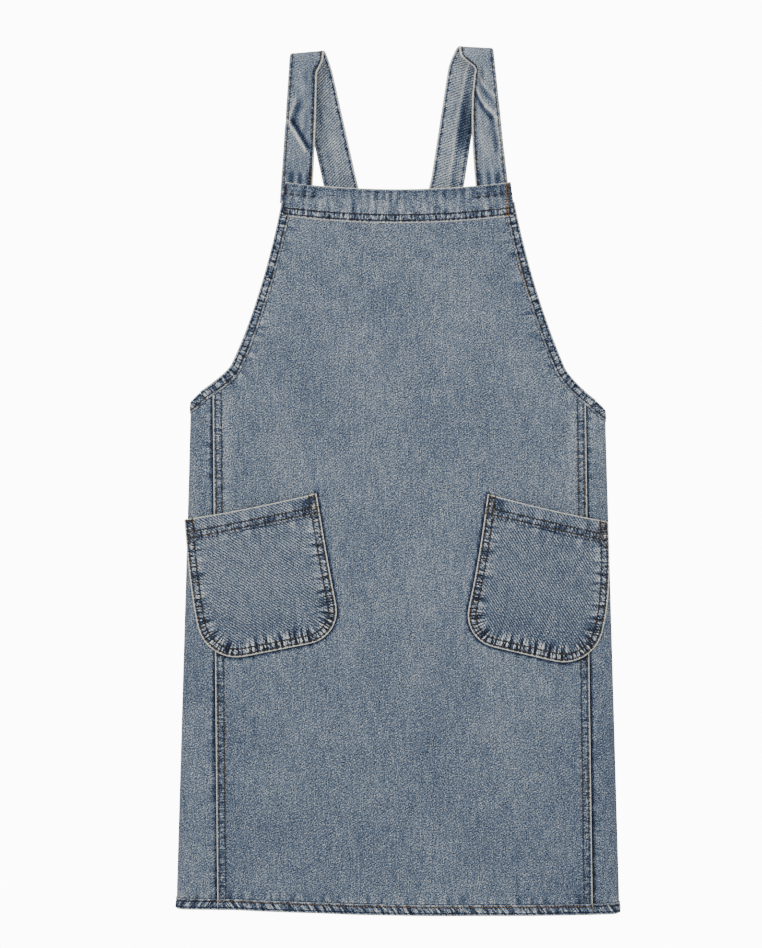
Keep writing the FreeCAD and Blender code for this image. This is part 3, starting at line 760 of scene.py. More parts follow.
def front_panel():
    """The front, from inside the band down to the hem, with its two lapped seams."""
    clear, beside = 62.0, SEAM_X - 13.0    # the mesh is finer past clear, for the pockets, and past beside
    half_across = np.concatenate([np.linspace(0, clear, 9)[:-1], np.linspace(clear, beside, 54)[:-1],
                                  np.linspace(beside, SEAM_X, 8)])
    across = np.concatenate([-half_across[:0:-1], half_across]) / SEAM_X
    tucked = 32.0                          # its top edge is this far below the bib's, in the band
    top, foot = BIB_Z - tucked, HEM_Z + 1.5
    down = np.linspace(top, foot, steps(top - foot, 2.6))
    half = {side: np.minimum(armhole_x(down) - 1.0, seam_edge(sign, down)) for side, sign in SIDES.items()}
    x = np.where(across < 0, half["left"][:, None], half["right"][:, None]) * across[None, :]
    z = down[:, None] + (sag_z(x, tucked) - top) * (1 - between(0, 60, top - down))[:, None]
    along, off, strength = panel_seams(x, z)
    grid = np.stack([x, front_face(x, z) - seam_relief(along, off, strength), hung_z(x, z)], axis=-1)
    # painted shadow, with some unfaded indigo, in a narrow band just outside each pocket's edge
    shadow = np.zeros_like(x)
    for side in SIDES:
        away, _ = closest(pocket_path(side), x, z)
        shadow += between(3.4, 1.4, away)
    in_from_seam = seam_edge(x, z) - np.abs(x)
    halo = between(9.0, 13.0, in_from_seam) * between(24.0, 14.0, in_from_seam)
    halo = halo * between(KINK[1] - 20.0, KINK[1] - 60.0, z) * between(-700.0, -560.0, z)
    blot = bell(in_from_seam - 14.0, 3.0) * between(28.0, 13.0, z - HEM_Z)
    tone = 0.01 * between(620, 200, -z) - 0.04 * between(560, 900, -z)
    tone = tone - 0.5 * shadow + 0.08 * halo - 0.3 * blot
    fields = {
        "seam": seam_field(along, off, strength),
        "edge": np.where(z < KINK[1] - 10, in_from_seam + 0.4, 50.0) * MM,
        "wear_and_shade": tone + 0.10 * seam_relief(along, off, strength) / PUCKER_TALL}
    piece = cloth("front_panel_cloth", grid, np.stack([x, z], axis=-1), fields, DENIM)
    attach(piece, "front")
    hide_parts("front_panel")


def hem_profile(width, rows, proud, behind):
    """A turned edge's cross-section: distance in from the edge and height, front then back."""
    front = np.linspace(width - 0.5, 0.5, steps(width, 1.5))
    dips = sum(bell(front - row, 1.0) for row in rows)
    height = proud * (1 - 0.6 * np.minimum(dips, 1.0))
    back = np.linspace(1.0, width, steps(width, 3.5))
    flat = np.concatenate([[width + 0.2], front, [-0.1, -0.35, -0.1], back])
    lift = np.concatenate([[-0.3], height, [-0.25 * behind + 0.3 * proud, -0.55 * behind, -0.85 * behind],
                           np.full(len(back), -behind)])
    return flat, lift


def turned_hem(name, path, inward, width, rows, lay, material, seed, proud=0.7, behind=2.0, rope=0.0,
               blobs=0.0, tone=0.0, depth=0.34, from_foot=False, marks=None):
    """An edge turned over and stitched: a closed tube of cloth along a path.

    lay puts flat places and their heights in space. rope slants the puckers, as on a hem that has twisted as
    it was sewn, blobs darkens the hollows between them, partly as unfaded indigo and partly as painted shade,
    and marks gives any more tone. from_foot counts the seam's rows from the far side of the edge."""
    flat, height = hem_profile(width, rows, proud, behind)
    count, sides = len(path), len(flat)
    length = along_path(path)
    ends = between(-0.5, 2.0, np.minimum(length, length[-1] - length))[:, None]
    off = np.broadcast_to(flat, (count, sides))
    centre = (proud - behind) / 2
    lift = centre + (height[None, :] - centre) * (0.3 + 0.7 * ends)
    along = np.broadcast_to(length[:, None], (count, sides)) + rope * off
    wave = uneven(along, seed) * between(-0.3, 2.0, off) * between(-0.2, 1.5, width - off)
    lift = lift + np.where(height > -0.2 * behind, depth, -0.2) * wave
    place = path[:, None, :] + inward[:, None, :] * off[..., None]
    points = lay(place[..., 0], place[..., 1], lift)
    index = np.arange(count * sides).reshape(count, sides)
    following = np.roll(index, -1, axis=1)
    quads = np.stack([index[:-1], index[1:], following[1:], following[:-1]], axis=-1).reshape(-1, 4)
    faces = quads.tolist() + [index[0].tolist(), index[-1][::-1].tolist()]
    # the dark blobs between the puckers: unfaded indigo and painted shade in the hollows
    hollow = np.maximum(0, -uneven(along * 0.9, seed + 1)) * between(1, 5, off) * between(16, 8, off)
    row_at = EDGE_MARGIN + NEEDLE_GAUGE
    sewn = width - off if from_foot else off * row_at / (width - EDGE_MARGIN)
    foot_edge = np.abs(width - off) + (0.35 if from_foot else 0.8)
    fields = {
        "seam": seam_field(along, sewn, 0.8).reshape(-1, 3),
        "edge": (np.minimum(np.abs(off) + 0.3, foot_edge) * MM).ravel(),
        "wear_and_shade": (tone + 0.10 * wave - blobs * hollow + (marks(along, off) if marks else 0.0)).ravel(),
        "reverse": np.where(height < -0.7 * behind, 0.6, 0.0)[None, :].repeat(count, axis=0).ravel()}
    piece = make_piece(name, points.reshape(-1, 3), faces, place.reshape(-1, 2), fields, material)
    outwards_first(piece)
    return piece


def on_front(raise_by=0.0):
    def lay(x, z, lift):
        return np.stack([x, front_face(x, z) - raise_by - lift, hung_z(x, z)], axis=-1)
    return lay


def bib_band():
    """The band is one strip folded over the bib's top edge, over the ends of both straps."""
    x = np.linspace(-BIB_HALF, BIB_HALF, steps(2 * BIB_HALF, 1.8))
    path = np.stack([x, sag_z(x, 0.0)], axis=1)
    inward = inward_of(path, (0.0, BAND_LOW[2]))
    rows = (BAND_TALL - EDGE_MARGIN, BAND_TALL - EDGE_MARGIN - NEEDLE_GAUGE)
    ply = FRONT_Y - BAND_LOW[1]

    def strap_end_marks(along, off):
        """Dark dashes where the stitches through each strap's end pull the band in."""
        x = along - along_path(path)[-1] / 2
        dashes = np.maximum(0, np.sin(x / 1.35 + 1.2 * np.sin(x / 9.0))) ** 0.5
        over_strap = between(80.0, 84.0, np.abs(x)) * between(120.0, 116.0, np.abs(x))
        line = bell(off - BAND_STRAP_ROW, 1.5) + 0.6 * bell(off - BAND_STRAP_ROW + 4.0, 1.2)
        top_fold = 0.25 * between(1.4, 2.6, off) * between(5.0, 3.0, off)
        ends = 0.45 * between(BIB_HALF - 7.0, BIB_HALF - 3.0, np.abs(x)) * between(2, 5, off)
        folded = top_fold * (0.6 + 0.4 * dashes) + ends * (0.4 + 0.6 * dashes)
        return -0.55 * dashes * over_strap * line - folded

    piece = turned_hem("bib_band", path, inward, BAND_TALL, rows, on_front(ply - 0.35), BAND_DENIM, 1.3,
                       proud=0.35, behind=FACING_TOP[1] - BAND_LOW[1] - 0.35, blobs=0.3, depth=0.25,
                       from_foot=True, marks=strap_end_marks)
    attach(piece, "front")
    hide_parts("bib_band_outer", "bib_band_facing")
    return path, inward, rows


def armhole_run(sign, tucked):
    """The armhole on one side, from tucked above the band's foot to the side fold."""
    run = ARMHOLE[ARMHOLE[:, 0] < FOLD_TOP_X + 1.0] * (sign, 1)
    return run[np.abs(run[:, 1]) > -BIB_Z + BAND_TALL - tucked]


def front_hems():
    for side, sign in SIDES.items():
        kept = armhole_run(sign, 16.0)
        inward = inward_of(kept, FRONT_INSIDE)
        hem = turned_hem(side + "_armhole_turned_hem", kept, inward, ARM_HEM, (ARM_HEM - EDGE_MARGIN,),
                         on_front(0.1), DENIM, 2.0 + sign, tone=HEM_TONE, blobs=0.3)
        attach(hem, "front")
        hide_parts(side + "_armhole_hem")
    ends = seam_edge(-1, HEM_Z), seam_edge(1, HEM_Z)
    x = np.linspace(-ends[0], ends[1], steps(ends[0] + ends[1], 1.8))
    path = np.stack([x, np.full_like(x, HEM_Z)], axis=1)
    hem = turned_hem("front_turned_hem", path, np.array([[0.0, 1.0]] * len(path)), BOTTOM_HEM,
                     (BOTTOM_HEM - EDGE_MARGIN,), on_front(0.1), HEM_DENIM, 0.2, proud=0.9, rope=0.7,
                     blobs=0.45, tone=HEM_TONE, depth=0.4)
    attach(hem, "front")
    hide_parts("front_hem")


# ---------------------------------------------------------------- sides and back

TURN = math.pi * FOLD_RADIUS
BACK_SHORT = 3.0            # the back hangs this much shorter than the front
SIDE_TONE = {"left": (0.02, -0.03), "right": (0.04, -0.07)}     # up by the arm, and low down


def wrap(side, girth, z, lift=0.0):
    """Lays a side panel: girth runs level from the front's middle, round the fold and back."""
    sign = SIDES[side]
    start = fold_start(z)
    turn = np.clip((girth - start) / FOLD_RADIUS, 0, math.pi)
    out = FOLD_RADIUS + lift
    on_back = girth > start + TURN
    folded = np.where(on_back, 2 * start + TURN - girth, start + out * np.sin(turn))
    x = np.where(girth < start, girth, folded) * sign
    share = turn / math.pi
    hang = front_hang(x, z) * (1 - share) + back_hang(x, z) * share
    height = hung_z(x, z) + BACK_SHORT * smooth(share)
    return np.stack([x, FOLD_Y - out * np.cos(turn) + hang, height], axis=-1)


def back_girth(x, z):
    """The girth of a place on the back, x out from the middle."""
    return 2 * fold_start(z) + TURN - x


def side_top_path():
    """The upper edge of a side panel, from under the front panel to the back opening."""
    front_x = np.linspace(SEAM_X - SEAM_LAP, FOLD_TOP_X, 12)
    front = np.stack([front_x, armhole_z(front_x)], axis=1)
    outer, rise = BACK_TOP[0], BACK_RISE
    curve = arc((outer, BACK_LEVEL_Z + rise), (outer - BACK_CURVE, BACK_LEVEL_Z), -rise * 0.27)
    level = np.array([[BACK_OPENING, BACK_LEVEL_Z]])
    back = np.concatenate([curve, level])
    back[:, 0] = back_girth(back[:, 0], back[:, 1])
    return softened(resampled(np.concatenate([front, back]), GRAIN), 30)


SIDE_TOP = side_top_path()


def blend_to_back(piece):
    """Cloth that crosses the side fold, baked into place as it lies."""
    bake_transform(piece)


def side_panel(side):
    """One cut of cloth, from under the front panel round the side to the back opening."""
    sign = SIDES[side]
    high, low = SIDE_TONE[side]
    first = np.linspace(0, 1, 11)
    parts = [("front", f) for f in first] + [("fold", f) for f in np.linspace(0, 1, 15)[1:]]
    back_width = FOLD_TOP_X - BACK_OPENING
    parts += [("back", f) for f in (graded(back_width, 2.0, 6.5, 12.0) / back_width)[1:]]

    def girth_of(kind, share, z):
        start = fold_start(z)
        if kind == "front":
            return SEAM_X - SEAM_LAP + share * (start - SEAM_X + SEAM_LAP)
        if kind == "fold":
            return start + share * TURN
        return start + TURN + share * (start - BACK_OPENING - 1.5)

    top = np.full(len(parts), CORNER[1])
    for _ in range(6):
        top = np.array([np.interp(girth_of(kind, f, t), SIDE_TOP[:, 0], SIDE_TOP[:, 1]) - 1.5
                        for (kind, f), t in zip(parts, top)])
    foot = HEM_Z + 1.5
    share = graded(500.0, 2.4, 2.7, 10.0) / 500.0
    z = top[None, :] + (foot - top)[None, :] * share[:, None]
    girth = np.stack([girth_of(kind, f, z[:, k]) for k, (kind, f) in enumerate(parts)], axis=1)
    top_off, top_along = closest(SIDE_TOP, girth, z)
    opening = back_girth(BACK_OPENING, z) - girth
    along, off, strength = nearest_seam([
        (-z + 200.0, np.abs(girth - seam_edge(sign, z)) + STITCHED + 1.0, 0.8),
        (top_along + 2000.0, top_off - ARM_HEM + STITCHED, 0.8),
        (girth + 4000.0, z - HEM_Z - BOTTOM_HEM + STITCHED, 0.8),
        (-z + 6000.0, opening - ARM_HEM + STITCHED, 0.8)])
    relief = seam_relief(along, off, strength)
    past = girth - seam_edge(sign, z)
    # painted shadow on the side panel just past the front panel's lapped edge
    groove = between(4.0, 1.2, past) * between(-2.0, 0.0, past)
    wash = high + (low - high) * between(440, 700, -z)
    lined = between(FOLD_RADIUS * 0.8, 0, np.abs(girth - fold_start(z) - TURN / 2))
    grid = wrap(side, girth, z, relief)
    uv = np.stack([girth * sign + 40.0 * sign, z], axis=-1)
    fields = {
        "seam": seam_field(along, off, strength),
        "edge": np.full_like(z, 0.05),
        "wear_and_shade": wash + 0.10 * relief / PUCKER_TALL - 0.6 * groove + 0.05 * lined}
    if sign < 0:
        grid, uv = grid[:, ::-1], uv[:, ::-1]
        fields = {key: values[:, ::-1] for key, values in fields.items()}
    piece = cloth(side + "_side_panel_cloth", grid, uv, fields, DENIM)
    blend_to_back(piece)
    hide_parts(side + "_side_front", side + "_side_fold", side + "_back_panel")


def side_hems(side):
    """The turned hems of the back's top, opening and foot, and their stitches."""
    sign = SIDES[side]

    def lay(girth, z, lift):
        return wrap(side, girth, z, lift + 0.1)

    top = SIDE_TOP[SIDE_TOP[:, 0] > FOLD_TOP_X - 1.5]
    heights = np.linspace(BACK_LEVEL_Z, HEM_Z, steps(BACK_LEVEL_Z - HEM_Z, 2.2))
    opening = np.stack([back_girth(BACK_OPENING, heights), heights], axis=1)
    start, end = seam_edge(sign, HEM_Z) - 2.0, back_girth(BACK_OPENING, HEM_Z)
    girths = np.linspace(start, end, steps(290.0, 1.8))
    bottom = np.stack([girths, np.full_like(girths, HEM_Z)], axis=1)
    for label, path, width, nodes, extra in (
            ("back_top_turned_hem", top, ARM_HEM, ("back_top_hem",), {"rope": 0.5, "blobs": 0.4}),
            ("back_edge_turned_hem", opening, ARM_HEM, ("back_edge_hem",), {}),
            ("side_bottom_turned_hem", bottom, BOTTOM_HEM, ("side_hem", "back_bottom_hem"),
             {"proud": 0.9, "rope": 0.7, "blobs": 0.45, "depth": 0.4})):
        hem = turned_hem(side + "_" + label, path, inward_of(path, BACK_INSIDE), width,
                         (width - EDGE_MARGIN,), lay, HEM_DENIM if width == BOTTOM_HEM else DENIM,
                         3.0 + sign, tone=HEM_TONE, **extra)
        blend_to_back(hem)
        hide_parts(*[side + "_" + node for node in nodes])
    rows = []
    for path, width in ((top, ARM_HEM), (opening, ARM_HEM), (bottom, BOTTOM_HEM)):
        row = path + inward_of(path, BACK_INSIDE) * (width - EDGE_MARGIN)
        rows.append(wrap(side, row[:, 0], row[:, 1], 0.55))
    thread = topstitching(side + "_back_topstitching", rows, BROWN_THREAD, 11)
    blend_to_back(thread)
    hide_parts(side + "_back_topstitch")


# ---------------------------------------------------------------- straps

STRAP_OUT = STRAP_THICK / 2
STRAP_EDGE_ROW = STRAP_WIDE / 2 - 2.6   # each edge's row, from the strap's middle
CROSS_UNDER = 2.6                       # the right strap passes this far in front of the left one
CURL = {"left": (6.0, 110.0), "right": (14.5, 50.0)}        # how far the inner edge curls, and its reach
BACK_DRIFT = {"left": (3.5, 0.0), "right": (7.5, -1.0)}     # back leg's shift inwards, by bar and by bib
BACK_LEG_SHADE = {"left": (-8.0, 0.0, 62.0, 20.0),             # drops where the back leg's painted shade begins, and where it fades again
               "right": (30.0, 70.0, 112.0, 92.0)}
BACK_FOLD = {"left": 0.07, "right": 0.24}                   # how strongly its lengthwise fold shows, in painted highlight and painted shade
STRAP_TONE = {"left": 0.03, "right": 0.09}
LOOP_RISE = {"left": -3.0, "right": 2.4}                    # one loop hangs lower than the other
CROSSING_Z = -400.0
LAP_HALF = 14.0
# Creases on each front leg, from one place to another, each place in from the outer edge and below the bar:
# then half width, height and tone. The tone pales a crease's ridge, as rubbed cloth and painted highlight,
# and darkens its shaded side with painted shadow; that side is on its left as it is followed.
CREASES = {
    "left": (((2.0, -71.0), (26.0, -104.0), 2.1, 1.6, 0.46), ((9.0, -44.0), (2.5, -72.0), 2.3, 1.3, 0.30),
             ((17.0, -60.0), (19.0, -84.0), 3.0, 0.8, 0.10), ((12.0, -14.0), (20.0, -34.0), 3.5, 0.8, 0.10)),
    "right": (((34.0, -34.0), (5.0, -68.0), 2.0, 1.5, 0.36), ((24.0, -22.0), (2.0, -50.0), 2.2, 1.0, 0.20),
              ((4.5, -66.0), (2.5, -108.0), 2.2, 0.9, 0.26), ((27.0, -84.0), (20.0, -112.0), 4.0, 0.7, 0.08)),
}


def strap_angles(side):
    front = math.atan2(STRAP_FOOT[side] - STRAP_TOP[side], -BIB_Z)
    back = math.atan2(STRAP_TOP[side] + STRAP_END, -STRAP_END_Z)
    return (back - front) / 2, (front + back) / 2


def strap_length(side, z, back):
    """How far along the strap from the top of its fold a height lies, down either leg."""
    tilt, spread = strap_angles(side)
    lean = spread + tilt if back else spread - tilt
    length = (math.cos(tilt) * math.pi * STRAP_MID / 2 - z) / math.cos(lean)
    return length if back else -length


def strap_point(side, s, t, lift):
    """Lays a strap: s runs from the front leg over the bar to the back one, t towards the inner edge."""
    sign = SIDES[side]
    tilt, spread = strap_angles(side)
    p = t * math.cos(spread) + s * math.sin(spread)
    q = s * math.cos(spread) - t * math.sin(spread)
    quarter = math.pi * STRAP_MID / 2
    turn = np.clip(q, -quarter, quarter) / STRAP_MID
    out = STRAP_MID + lift
    h = out * np.cos(turn) - np.maximum(np.abs(q) - quarter, 0)
    x = sign * STRAP_TOP[side] - sign * math.cos(tilt) * p + sign * math.sin(tilt) * h
    z = math.sin(tilt) * p + math.cos(tilt) * h
    z = z + LOOP_RISE[side] * between(-BIB_Z, 0.0, -z)
    return np.stack([x, out * np.sin(turn), z], axis=-1)


def strap_shape(side, s, t):
    """Where a strap's cloth really lies: its places moved by curl and drift, its height, and its tone, which
    holds painted shade and highlight for its creases, curl and back fold.
    """
    half = STRAP_WIDE / 2
    drop = np.abs(s) - math.pi * STRAP_MID / 2
    front = between(2.0, -10.0, s)
    curl, reach = CURL[side]
    pull = curl * front * between(-3.0, 17.0, drop) * np.exp(-np.maximum(drop - 17.0, 0) / reach)
    inner = between(-half * 0.3, half, t)
    drift = between(-4.0, 36.0, s) * np.interp(s, (0.0, 150.0, 400.0), (*BACK_DRIFT[side], 0.0))
    moved = t - pull * inner + drift
    height = 0.42 * pull * np.sin(math.pi * np.clip((t + half * 0.1) / (half * 1.1), 0, 1)) ** 2
    # painted shade along the inner edge where it curls
    rolled = between(half - 7.0, half - 3.5, t) * between(half - 0.5, half - 2.0, t)
    tone = -0.30 * between(0.5, 5.0, pull) * rolled
    # each crease is paler on its ridge, as rubbed cloth and painted highlight, and darker in its valley, as
    # painted shadow
    for (u0, z0), (u1, z1), wide, lift, shade in CREASES[side]:
        long = math.hypot(u1 - u0, z1 - z0)
        du, dz = (u1 - u0) / long, (z1 - z0) / long
        follow = (t + half - u0) * du + (-drop - z0) * dz
        aside = (t + half - u0) * dz - (-drop - z0) * du + 0.05 * (follow - long / 2) ** 2 / long
        ends = between(-5.0, 6.0, follow) * between(long + 5.0, long - 6.0, follow) * between(0.0, -12.0, s)
        ridge = bell(aside, wide) * ends
        valley = bell(aside + 2.2 * wide, 1.4 * wide) * ends
        height = height + lift * (ridge - 0.7 * valley)
        tone = tone + shade * (ridge - 1.25 * valley)
    foot = between(-BIB_Z - 17.0, -BIB_Z - 4.0, drop) * between(0.0, -12.0, s)
    gathers = np.sin(t / 1.9 + 0.8 * np.sin(t / 5.0))
    height = height + 0.5 * foot * gathers + 0.35 * np.sin(s / 27.0) * (1 - foot)
    tone = tone - foot * (0.20 + 0.24 * gathers)
    back = between(8.0, 24.0, s)
    # the back leg's lengthwise fold: raised, with a painted highlight on its ridge and painted shade beside
    # it
    fold_line = t + half * 0.15 - 2.5 * np.sin(s / 55.0)
    height = height + back * 0.9 * bell(fold_line, 3.0)
    shade = bell(fold_line, 1.6) - 0.9 * bell(fold_line + 5.0, 3.0)
    tone = STRAP_TONE[side] + tone + BACK_FOLD[side] * back * shade
    # painted shade on the back leg's outer half, where the front leg shades it
    darker, paler = BACK_LEG_SHADE[side][:2], BACK_LEG_SHADE[side][2:]
    hollow = between(2.0, -7.0, t) * between(*darker, drop) * between(*paler, drop)
    tone = tone - 0.36 * back * hollow
    pucker = uneven(s, 0.7) * between(6.5, 2.0, half - np.abs(t))
    return moved, height + 0.22 * pucker, tone + 0.14 * pucker


def strap_sheet(side, name, low, high, ease):
    """One length of strap from s = low to s = high. ease(s) gives its extra depth behind."""
    sign = SIDES[side]
    half = STRAP_WIDE / 2
    s = np.linspace(high, low, steps(high - low, 2.0))
    across = graded(STRAP_WIDE, 1.1, 2.2, 6.0) - half
    t = across if sign < 0 else -across
    s, t = np.meshgrid(s, t, indexing="ij")
    moved, height, tone = strap_shape(side, s, t)
    grid = strap_point(side, s, moved, STRAP_OUT)
    grid = grid + surface_normals(grid) * height[..., None]
    grid[..., 1] += ease(s)
    off = half - np.abs(t)
    run, beside_row = s + np.where(t > 0, 800.0, 0.0), np.where(off < 6.0, off, 60.0)
    fields = {
        "seam": seam_field(run, beside_row, np.where(t > 0, 0.6, 0.4)),
        "edge": (off + np.where(t < 0, 0.8, 0.0)) * MM,
        "wear_and_shade": tone}
    uv = np.stack([t * -sign, -np.abs(s) + np.where(s > 0, 900.0, 0.0)], axis=-1)
    return cloth(name, grid, uv, fields, STRAP_DENIM, thick=STRAP_THICK)


def cross_ease(side):
    """The right strap passes in front of the left one where they cross behind."""
    def ease(s):
        middle = strap_length(side, CROSSING_Z, True)
        under = -CROSS_UNDER if side == "right" else 0.0
        return under * between(110.0, 40.0, np.abs(s - middle))
    return ease


def strap_weights(points):
    """0 where a strap stays with its loop and 1 where it goes with the bib or the crossing."""
    depth, z = points[:, 1], points[:, 2]
    return np.where(depth < 0, between(-BIB_Z - 6, -BIB_Z + 4, -z), between(20, 330, -z))


def reweigh(piece, weights):
    """Works out weights for a piece from its points in millimetres; they are not stored."""
    points = np.array([v.co for v in piece.data.vertices]) / MM
    values = np.asarray(weights(points), np.float32)


def strap(side):
    """A strap in two lengths, lapped and sewn at the crossing, with its stitches."""
    ease = cross_ease(side)
    foot = strap_length(side, BIB_Z - 24.0, False)
    lap_end = strap_length(side, CROSSING_Z - LAP_HALF, True)
    upper = strap_sheet(side, side + "_strap_upper", foot, lap_end, ease)
    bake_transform(upper)
    reweigh(upper, strap_weights)
    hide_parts(side + "_strap_front", side + "_strap_shoulder", side + "_strap_back_upper",
                side + "_strap_front_tab")
    lap_start = strap_length(side, CROSSING_Z + LAP_HALF, True)
    end = strap_length(side, TAB_FOOT_Z, True)

    def lapped(s):
        on_top = between(30.0, 24.0, s - lap_start) * (STRAP_THICK + 0.2)
        inside = between(-STRAP_END_Z - 70.0, -STRAP_END_Z - 25.0, s - 12.0) * 0.7
        return ease(s) + on_top + inside

    lower = strap_sheet(side, side + "_strap_lower", lap_start, end, lapped)
    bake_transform(lower)
    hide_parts(side + "_strap_back_lower", side + "_strap_back_tab")

    def row(low, high, t, extra):
        s = np.linspace(low, high, steps(abs(high - low), 1.5))
        return line_on_strap(side, s, np.full_like(s, t), extra)

    edge = STRAP_EDGE_ROW
    above = strap_length(side, BIB_Z, False)
    rows = [row(above, lap_start - 2.0, t, ease) for t in (-edge, edge)]
    thread = topstitching(side + "_strap_topstitching", rows, TAN_THREAD, 21)
    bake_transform(thread)
    reweigh(thread, strap_weights)
    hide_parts(side + "_strap_topstitch")
    lap = 2 * LAP_HALF - 3.0
    rows = [row(lap_start + 2.0, end - 3.0, t, lapped) for t in (-edge, edge)]
    for s in (lap_start + 3.0, lap_start + lap):
        t = np.linspace(-edge, edge, 24)
        rows.append(line_on_strap(side, np.full_like(t, s), t, lapped))
    for flip in (-1, 1):
        s = np.linspace(lap_start + 3.0, lap_start + lap, 24)
        rows.append(line_on_strap(side, s, flip * np.linspace(-edge, edge, 24), lapped))
    thread = topstitching(side + "_strap_lap_topstitching", rows, TAN_THREAD, 22)
    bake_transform(thread)


def line_on_strap(side, s, t, extra):
    """A row of points laid on a strap's outer face."""
    moved, height, _ = strap_shape(side, s, t)
    points = strap_point(side, s, moved, STRAP_OUT + 0.1 + height)
    points[:, 1] += extra(s)
    return points


def tab_box(side):
    """The crossed box of stitches that holds the far strap's end inside this back panel."""
    far = FAR_SIDE[side]
    edge = STRAP_WIDE / 2 - 4.0
    low = strap_length(far, BACK_LEVEL_Z - ARM_HEM - 1.0, True)
    high = strap_length(far, TAB_FOOT_Z + 4.0, True)
    rows = []
    for corners in ([(low, -edge), (low, edge), (high, edge), (high, -edge), (low, -edge), (high, edge)],
                    [(low, edge), (high, -edge)]):
        route = resampled(corners, 2.0)
        flat = strap_point(far, route[:, 0], route[:, 1], STRAP_OUT)
        girth = back_girth(np.abs(flat[:, 0]), flat[:, 2])
        rows.append(wrap(side, girth, flat[:, 2], 0.12))
    thread = topstitching(side + "_tab_box_topstitching", rows, TAN_THREAD, 23)
    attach(thread, side + "_back")


# ---------------------------------------------------------------- pockets

def pocket_weight(side):
    def weights(points):
        a, b = pocket_local(side, points[:, 0], points[:, 2])
        across = np.clip(1 - (a / (POCKETS[side]["mouth"] + 2.0)) ** 2, 0, 1)
        return across ** 1.3 * np.clip(1 - b / POCKETS[side]["deep"], 0, 1)
    return weights


def pocket_height(side, a, b, off):
    """How far a pocket's outer face stands off the front."""
    size = POCKETS[side]
    across = np.clip(1 - (a / size["mouth"]) ** 2, 0, 1)
    mouth = POCKET_OPEN * across ** 1.5 * between(70, 0, b)
    belly = 2.6 * between(6, 48, off) * between(0, 60, b + 25.0)
    sag = 0.8 * np.sin(a / 23.0 + b / 37.0 + SIDES[side]) * between(8, 30, off)
    hem = 0.9 * between(POCKET_HEM + 1.5, POCKET_HEM - 0.5, b)
    return POCKET_EDGE + mouth + belly + sag + hem


def pocket_seams(a, b, off, along):
    """The seam round a pocket and the one across its mouth."""
    below_hem = np.where(b < POCKET_HEM + EDGE_MARGIN, POCKET_HEM + EDGE_MARGIN - b, b - POCKET_HEM + 6.0)
    return nearest_seam([
        (along * 1.25, off, 1.0 + 0.3 * between(90, 140, b)),
        (a * 1.1 + 900.0, below_hem, 0.85)])


def pocket_puckers(run, off, strength):
    return uneven(run, 2.2) * strength * between(0.6, 2.4, off) * between(17.0, 6.5, off)


